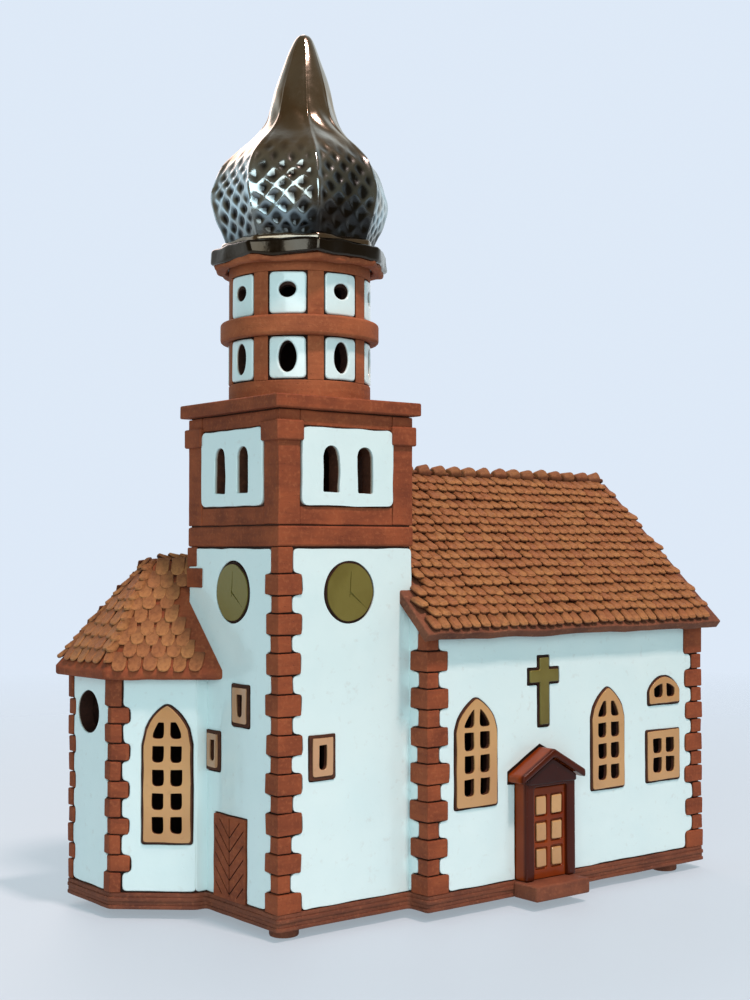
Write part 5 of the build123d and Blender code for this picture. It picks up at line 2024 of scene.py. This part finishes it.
@dataclass
class Dome:
    """Onion dome on its skirt, in dark metallic lustre with a pressed net round its belly."""

    house: House
    sides: int = 8
    foot: float = 206.2
    skirt_h: float = 5.0
    skirt_r: float = 29.0
    lean: float = 1.3
    lean_way: Vector = field(default_factory=lambda: Vector((0.787, -0.617, 0.0)))
    twist: float = 0.14
    net_h: float = 6.4
    net_deep: float = 1.15
    # the side of the belly that gets painted shade
    painted_shade_side: float = math.radians(278.0)
    across: int = 353
    rows: int = 181
    profile: tuple[Point, ...] = (
        (0.0, 23.4), (5.4, 25.6), (8.5, 27.0), (14.8, 28.7), (18.9, 28.3), (26.2, 25.6), (31.4, 21.2),
        (36.6, 15.6), (41.7, 11.9), (46.5, 10.3), (52.1, 9.0), (62.5, 5.6), (68.0, 3.5), (70.2, 2.1),
        (71.1, 0.4),
    )

    @property
    def top(self) -> float:
        """Height of the dome's tip over its foot."""
        return self.profile[-1][0]

    def radius(self, height: float) -> float:
        """Corner radius at a height, on a smooth curve through the profile.

        Args:
            height: over the dome's foot.
        Returns:
            The radius.
        """
        points = self.profile
        index = max(i for i in range(len(points) - 1) if points[i][0] <= height or i == 0)
        (z1, r1), (z2, r2) = points[index], points[index + 1]
        z0, r0 = points[max(0, index - 1)]
        z3, r3 = points[min(len(points) - 1, index + 2)]
        share = (height - z1) / (z2 - z1)
        m1 = (r2 - r0) / (z2 - z0) * (z2 - z1)
        m2 = (r3 - r1) / (z3 - z1) * (z2 - z1)
        s2, s3 = share**2, share**3
        ends = (2 * s3 - 3 * s2 + 1) * r1 + (3 * s2 - 2 * s3) * r2
        return ends + (s3 - 2 * s2 + share) * m1 + (s3 - s2) * m2

    def dent(self, turn: float, height: float) -> float:
        """Depth of the pressed net at a place on the belly.

        Args:
            turn: direction in radians.
            height: over the dome's foot.
        Returns:
            The share of the full depth, from 0 on the net's ribs.
        """
        step = math.tau / self.sides
        u = ((turn + self.twist * height / self.top + step / 2) % step) / (step / 2) - 1.0
        way = Vector((math.cos(turn), math.sin(turn), 0.0))
        drift = noise.noise(way * 3.0 + Vector((0.0, 0.0, height * 0.11))) * 0.22
        one, other = u * 1.7 + height / self.net_h + drift, u * 1.7 - height / self.net_h - drift
        net = abs(math.sin(math.pi * one) * math.sin(math.pi * other)) ** 1.5
        belt = clamp((height - 1.0) / 3.0) * clamp((34.0 - height) / 14.0)
        press = 0.5 + 0.5 * abs(noise.noise(way * 2.2 + Vector((3.0, 0.0, height * 0.05))))
        return net * belt * min(1.0, (1.0 - abs(u)) * 4.0) * press

    def surface(self, turn: float, height: float) -> Vector:
        """Point of the dome's skin.

        Args:
            turn: direction in radians.
            height: over the dome's foot.
        Returns:
            The point over the tower's axis.
        """
        step = math.tau / self.sides
        share = height / self.top
        across = (turn + self.twist * share + step / 2) % step - step / 2
        flat = math.cos(step / 2) / math.cos(across)
        sharp = min(1.0, max(0.1, (1.0 - share) * 2.2 - 0.35))
        radius = self.radius(height) * (1.0 + (flat - 1.0) * sharp)
        u = across / (step / 2)
        way = Vector((math.cos(turn), math.sin(turn), 0.0))
        inner = min(1.0, (1.0 - abs(u)) * 4.0)
        folds = math.sin(u * 4.0 + height * 0.5) * 0.3 * max(0.0, 1.0 - abs(height - 37.0) / 15.0) * inner
        lumps = noise.noise(way * 1.6 + Vector((0.0, 7.0, height * 0.08))) * 0.55 * min(1.0, radius / 9.0)
        crease = 0.4 * max(0.0, 1.0 - (1.0 - abs(u)) * 6.0) * sharp
        radius = max(0.05, radius - self.net_deep * self.dent(turn, height) + folds + lumps + crease)
        return way * radius + self.lean_way * self.lean * share + UPRIGHT * height

    def soot(self, point: Vector) -> float:
        """Dark colour of the lustre at a point: painted shade in the dents of the net and on one side, and
        darker towards the foot and in patches.

        Args:
            point: a point of the skin.
        Returns:
            The share of the dark colour.
        """
        turn = math.atan2(point.y, point.x)
        way = Vector((math.cos(turn), math.sin(turn), point.z * 0.03))
        patch = noise.noise(way * 1.4 + Vector((2.0, 5.0, 1.0)))
        belly = max(0.0, 1.0 - point.z / 34.0)
        foot = max(0.0, 1.0 - point.z / 13.0)
        side = max(0.0, math.cos(turn - self.painted_shade_side)) ** 6 * belly
        # painted shade from the side term and the dents; darker towards the foot; random patches
        return min(0.95, max(0.0, 0.9 * foot + 0.75 * side + 0.5 * patch + 1.7 * self.dent(turn, point.z)))

    def skin(self) -> Work:
        """Model the onion as a grid that is wrapped round its axis and closed.

        Returns:
            The onion.
        """
        sizes = {"x_subdivisions": self.across - 1, "y_subdivisions": self.rows - 1, "size": 2.0}
        skin = Work.start("onion_dome_skin", bpy.ops.mesh.primitive_grid_add, **sizes)
        around, high = math.tau, self.top
        skin.bend(lambda flat: self.surface((flat.x + 1.0) / 2.0 * around, (flat.y + 1.0) / 2.0 * high))
        skin.edit(
            lambda: bpy.ops.mesh.remove_doubles(threshold=0.01),
            lambda: bpy.ops.mesh.fill_holes(sides=0),
            lambda: bpy.ops.mesh.normals_make_consistent(inside=False),
        )
        return skin.mark("bloom", lambda point: clamp((point.z - 16.0) / 14.0)).mark("soot", self.soot)

    def ring(self, name: str, radius: float, inner: float, low: float, high: float) -> Work:
        """Model one uneven eight sided ring round the dome's foot.

        Args:
            name: name of the ring.
            radius: to its corners.
            inner: radius of its bore.
            low: level of its underside.
            high: level of its top.
        Returns:
            The ring.
        """
        turns = [math.tau * (side + 0.5) / self.sides for side in range(self.sides)]
        octagon = Outline((radius * math.cos(turn), radius * math.sin(turn)) for turn in turns)
        ring = Work.prism(name, octagon.wobbly(0.5, radius), low, high)
        ring.cut(Work.stamps([Outline.oval(0.0, 0.0, inner, inner, 48)], -3.0, 9.0))
        return ring.round_edges(min(1.1, (high - low) * 0.42)).uneven(0.8, 6.0, radius)

    def build(self) -> None:
        """Model and dress the dome and its skirt."""
        foot = self.house.plan.tower_middle + UPRIGHT * self.foot
        shade = {"at": Matrix.Translation(foot + UPRIGHT * self.skirt_h), "angle": 60.0, "weighted": False}
        self.house.deliver(self.skin(), Finish.DOME, Slot.DOME, "onion_dome", **shade)
        radius, top = self.skirt_r, self.skirt_h
        layout = (
            ("dome_skirt_clay", radius - 0.8, 23.2, -2.2, 2.0, Finish.DRUM, 0.0, ("dome_skirt",)),
            ("dome_skirt_glaze", radius + 0.4, 20.0, -0.6, top - 0.6, Finish.DOME, 0.88, ()),
            ("dome_foot_roll", 25.7, 20.0, top - 1.2, top + 1.6, Finish.DOME, 0.3, ()),
        )
        for name, outer, inner, low, high, finish, soot, nodes in layout:
            ring = self.ring(name, outer, inner, low, high).mark("bloom", 1.0).mark("soot", soot)
            self.house.deliver(ring, finish, Slot.DOME, *nodes, at=Matrix.Translation(foot), angle=50.0)


@dataclass
class Base:
    """Floor slab with its scored edge, and the feet under it."""

    house: House
    walls: Walls
    low: float = 3.0
    margin: float = 1.5
    courses: int = 4
    scored: float = 0.25
    lap: float = 0.1

    def build(self) -> None:
        """Model and dress the slab and the feet."""
        plan, walls = self.house.plan, self.walls
        right = plan.tower_right
        line = [
            walls.tower_corner, walls.apse_root, walls.apse_shoulder, walls.apse_corner, walls.apse_rear,
            walls.choir_root, (right, plan.nave_rear), (plan.nave_right, plan.nave_rear),
            (plan.nave_right, plan.nave_front), (right, plan.nave_front), (right, plan.tower_y),
        ]
        tall = (plan.floor_z - self.low) / self.courses
        slabs = []
        for course in range(self.courses):
            wider = self.margin - (self.scored if course % 2 else 0.0)
            edge = Roofs.outset([line[-1], *line, line[0]], wider)[1:-1]
            outline = Outline((p.x, p.y) for p in edge).soft(1.4).wobbly(0.3, course + 2.0, 4.0)
            low = self.low + course * tall
            slabs.append(Work.prism("course", outline, low - (self.lap if course else 0.0), low + tall))
        slab = Work.joined("floor_slab_clay", slabs).round_edges(0.34, 2)
        feet = self.house.softened("feet", "feet_clay", 0.6, 2)
        for work, node in ((slab, "floor_slab"), (feet, "feet")):
            self.house.deliver(work, Finish.PLINTH, Slot.TERRACOTTA, node)


@dataclass
class Tealight:
    """Loose tealight: drawn foil cup, wax with a raised rim, wick tab and wick."""

    house: House
    x: float = 34.5
    y: float = 3.25
    z: float = 8.2
    radius: float = 19.0
    height: float = 15.0
    wax_h: float = 11.0
    crimps: int = 32
    crimp: float = 0.006
    curl: float = 0.035
    curl_z: float = 12.0

    def cup(self) -> Work:
        """Model the foil cup with its rolled rim and crimped wall.

        Returns:
            The cup.
        """
        r, h = self.radius, self.height
        section = [
            (0.0, 0.0), (r - 2.0, 0.0), (r - 1.1, 0.25), (r - 0.75, 1.0), (r - 0.55, h - 1.4),
            (r - 0.1, h - 0.9), (r, h - 0.4), (r - 0.2, h), (r - 0.75, h - 0.3), (r - 0.95, h - 1.2),
            (r - 1.1, 1.2), (r - 1.6, 0.55), (0.0, 0.5),
        ]

        def crimp(point: Vector) -> Vector:
            """Press the upright wall into small waves.

            Args:
                point: a point of the cup.
            Returns:
                Where it goes.
            """
            if math.hypot(point.x, point.y) > r - 2.0 and 1.5 < point.z < h - 1.0:
                point.xy *= 1.0 + self.crimp * math.cos(math.atan2(point.y, point.x) * self.crimps)
            return point

        return Work.turned("tealight_cup_foil", section, 96).bend(crimp)

    def wax(self) -> Work:
        """Model the wax, which stands up round the wick and against the cup.

        Returns:
            The wax.
        """
        r, top = self.radius - 1.25, self.wax_h + 0.5
        section = [
            (0.0, 0.6), (r - 0.6, 0.6), (r, 1.3), (r, top), (r - 0.35, top - 0.15), (r - 1.6, top - 0.7),
            (8.0, top - 0.8), (2.4, top - 0.65), (1.1, top - 0.1), (0.0, top),
        ]
        return Work.turned("tealight_wax_cast", section, 72)

    def tab(self) -> Work:
        """Model the foil foot that holds the wick."""
        section = [(0.0, 0.5), (6.5, 0.5), (6.5, 0.9), (1.7, 1.0), (1.5, 2.5), (0.0, 2.5)]
        return Work.turned("wick_tab_foil", section, 32)

    def wick(self) -> Work:
        """Model the wick, which leans over at its tip.

        Returns:
            The wick.
        """
        section = [(0.0, 1.0), (0.78, 1.0), (0.8, 6.0), (0.78, 12.0), (0.8, 17.2), (0.62, 18.0), (0.0, 18.2)]
        wick = Work.turned("wick_braid", section, 16).edit(lambda: bpy.ops.mesh.subdivide(number_cuts=2))
        return wick.bend(lambda p: (p.x + self.curl * max(0.0, p.z - self.curl_z) ** 2, p.y, p.z))

    def build(self) -> None:
        """Model and dress the tealight."""
        at = Matrix.Translation((self.x, self.y, self.z))
        for work, finish, slot, node in (
            (self.cup(), Finish.FOIL, Slot.FOIL, "tealight_cup"),
            (self.wax(), Finish.WAX, Slot.WAX, "tealight_wax"),
            (self.tab(), Finish.FOIL, Slot.FOIL, "wick_tab"),
            (self.wick(), Finish.WICK, Slot.WICK, "wick"),
        ):
            sizes = {"at": at, "angle": 40.0, "weighted": False}
            self.house.deliver(work, finish, slot, node, body=Body.TEALIGHT, **sizes)


@dataclass
class Studio:
    """Camera, floor and light of the picture."""

    eye: tuple[float, float, float] = (-328.1, -403.35, 115.1)
    yaw: float = math.radians(38.134)
    pitch: float = math.radians(1.961)
    roll: float = math.radians(-0.047)
    lens: float = 53.49
    sensor: float = 36.0
    backdrop: Colour = (0.87, 0.915, 0.97)
    floor: Colour = (0.585, 0.628, 0.66)
    floor_side: float = 8.0
    floor_glow: float = 0.94
    room: tuple[float, float, float, float] = (0.72, 0.96, 1.02, 1.0)
    ambient: float = 0.365
    mirrored: tuple[tuple[float, Colour], ...] = (
        (0.0, (0.16, 0.125, 0.08)), (0.36, (0.21, 0.165, 0.11)), (0.5, (0.3, 0.29, 0.27)),
        (0.68, (0.8, 0.88, 0.92)),
    )

    def camera(self) -> None:
        """Set the camera at the photograph's place and angle."""
        data = bpy.data.cameras.new("view")
        data.lens = self.lens
        data.sensor_width = self.sensor
        data.clip_start = 0.01
        camera = bpy.data.objects.new("view", data)
        bpy.context.collection.objects.link(camera)
        level = math.cos(self.pitch)
        ahead = Vector((math.sin(self.yaw) * level, math.cos(self.yaw) * level, math.sin(self.pitch)))
        right = Vector((math.cos(self.yaw), -math.sin(self.yaw), 0.0))
        matrix = axes(right, right.cross(ahead), -ahead, Vector(self.eye) * MM)
        camera.matrix_world = matrix @ Matrix.Rotation(self.roll, 4, "Z")
        bpy.context.scene.camera = camera

    def ground(self) -> None:
        """Lay the pale floor, which fades out into the backdrop."""
        floor = Work.start("studio_floor", bpy.ops.mesh.primitive_plane_add, size=self.floor_side).piece
        paint = Paint("studio_floor")
        reach = paint.node("ShaderNodeVectorMath", {"operation": "LENGTH"}, {0: paint.place}, output="Value")
        floor.data.materials.append(
            paint.finish(
                Base_Color=linear(self.floor),
                Emission_Color=linear(self.floor),
                Emission_Strength=self.floor_glow,
                Roughness=0.6,
                Specular_IOR_Level=0.2,
                Alpha=paint.ramp(reach, (0.12, 1.0), (0.95, 0.0)),
            )
        )

    def lamp(self, name: str, spot: Colour, size: float, power: float, colour: Colour) -> None:
        """Hang a square lamp that points at the house.

        Args:
            name: name of the lamp.
            spot: its place in metres.
            size: side in metres.
            power: watts.
            colour: its light.
        """
        data = bpy.data.lights.new(name, "AREA")
        data.size = size
        data.energy = power
        data.color = colour
        lamp = bpy.data.objects.new(name, data)
        lamp.location = spot
        aim = Vector((0.0, 0.0, 0.11))
        lamp.rotation_euler = (aim - lamp.location).to_track_quat("-Z", "Y").to_euler()
        bpy.context.collection.objects.link(lamp)

    def world(self) -> None:
        """Light the room evenly, with reflections dark behind the camera and pale elsewhere."""
        world = bpy.data.worlds.new("studio")
        bpy.context.scene.world = world
        nodes = Nodes(world)
        place = nodes.node("ShaderNodeTexCoord", output="Generated")
        ahead = (math.sin(self.yaw), math.cos(self.yaw), -0.4)
        dot = {"operation": "DOT_PRODUCT"}
        facing = nodes.node("ShaderNodeVectorMath", dot, {0: place, 1: ahead}, output="Value")
        spread = nodes.node("ShaderNodeMapRange", inputs={"Value": facing, "From Min": -1.0})
        stops = [(position, (*colour, 1.0)) for position, colour in self.mirrored]
        mirrored = nodes.node("ShaderNodeValToRGB", {"stops": stops}, {"Fac": spread})
        shader = nodes.node("ShaderNodeBackground", inputs={"Color": self.room, "Strength": self.ambient})
        for ray, colour in (("Is Glossy Ray", mirrored), ("Is Camera Ray", linear(self.backdrop))):
            light = nodes.node("ShaderNodeBackground", inputs={"Color": colour})
            share = nodes.node("ShaderNodeLightPath", output=ray)
            shader = nodes.node("ShaderNodeMixShader", inputs={0: share, 1: shader, 2: light})
        nodes.add("ShaderNodeOutputWorld", inputs={"Surface": shader})

    def build(self) -> None:
        """Set up the studio."""
        bpy.context.scene.view_settings.view_transform = "Standard"
        self.camera()
        self.ground()
        self.world()
        self.lamp("key", (0.02, -0.93, 1.9), 0.18, 34.0, (1.0, 0.72, 0.66))
        self.lamp("fill", (-0.78, -0.92, 0.42), 0.8, 6.4, (0.86, 0.98, 1.0))
        self.lamp("back", (0.35, 1.25, 1.0), 0.9, 6.5, (1.0, 0.72, 0.64))


def main() -> None:
    """Build the house in order and log how many pieces it has."""
    logging.basicConfig(level=logging.INFO, format="%(name)s %(message)s")
    noise.seed_set(HAND_SEED)
    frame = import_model()
    bpy.ops.object.select_all(action="DESELECT")
    house = House(frame)
    walls = Walls(house)
    roofs = Roofs(house, walls)
    Base(house, walls).build()
    walls.build()
    roofs.nave()
    roofs.ridge()
    roofs.choir()
    Belfry(house).build()
    Drum(house).build()
    Dome(house).build()
    Tealight(house).build()
    Studio().build()
    LOG.info("%d pieces", house.count)


if __name__ == "__main__":
    main()
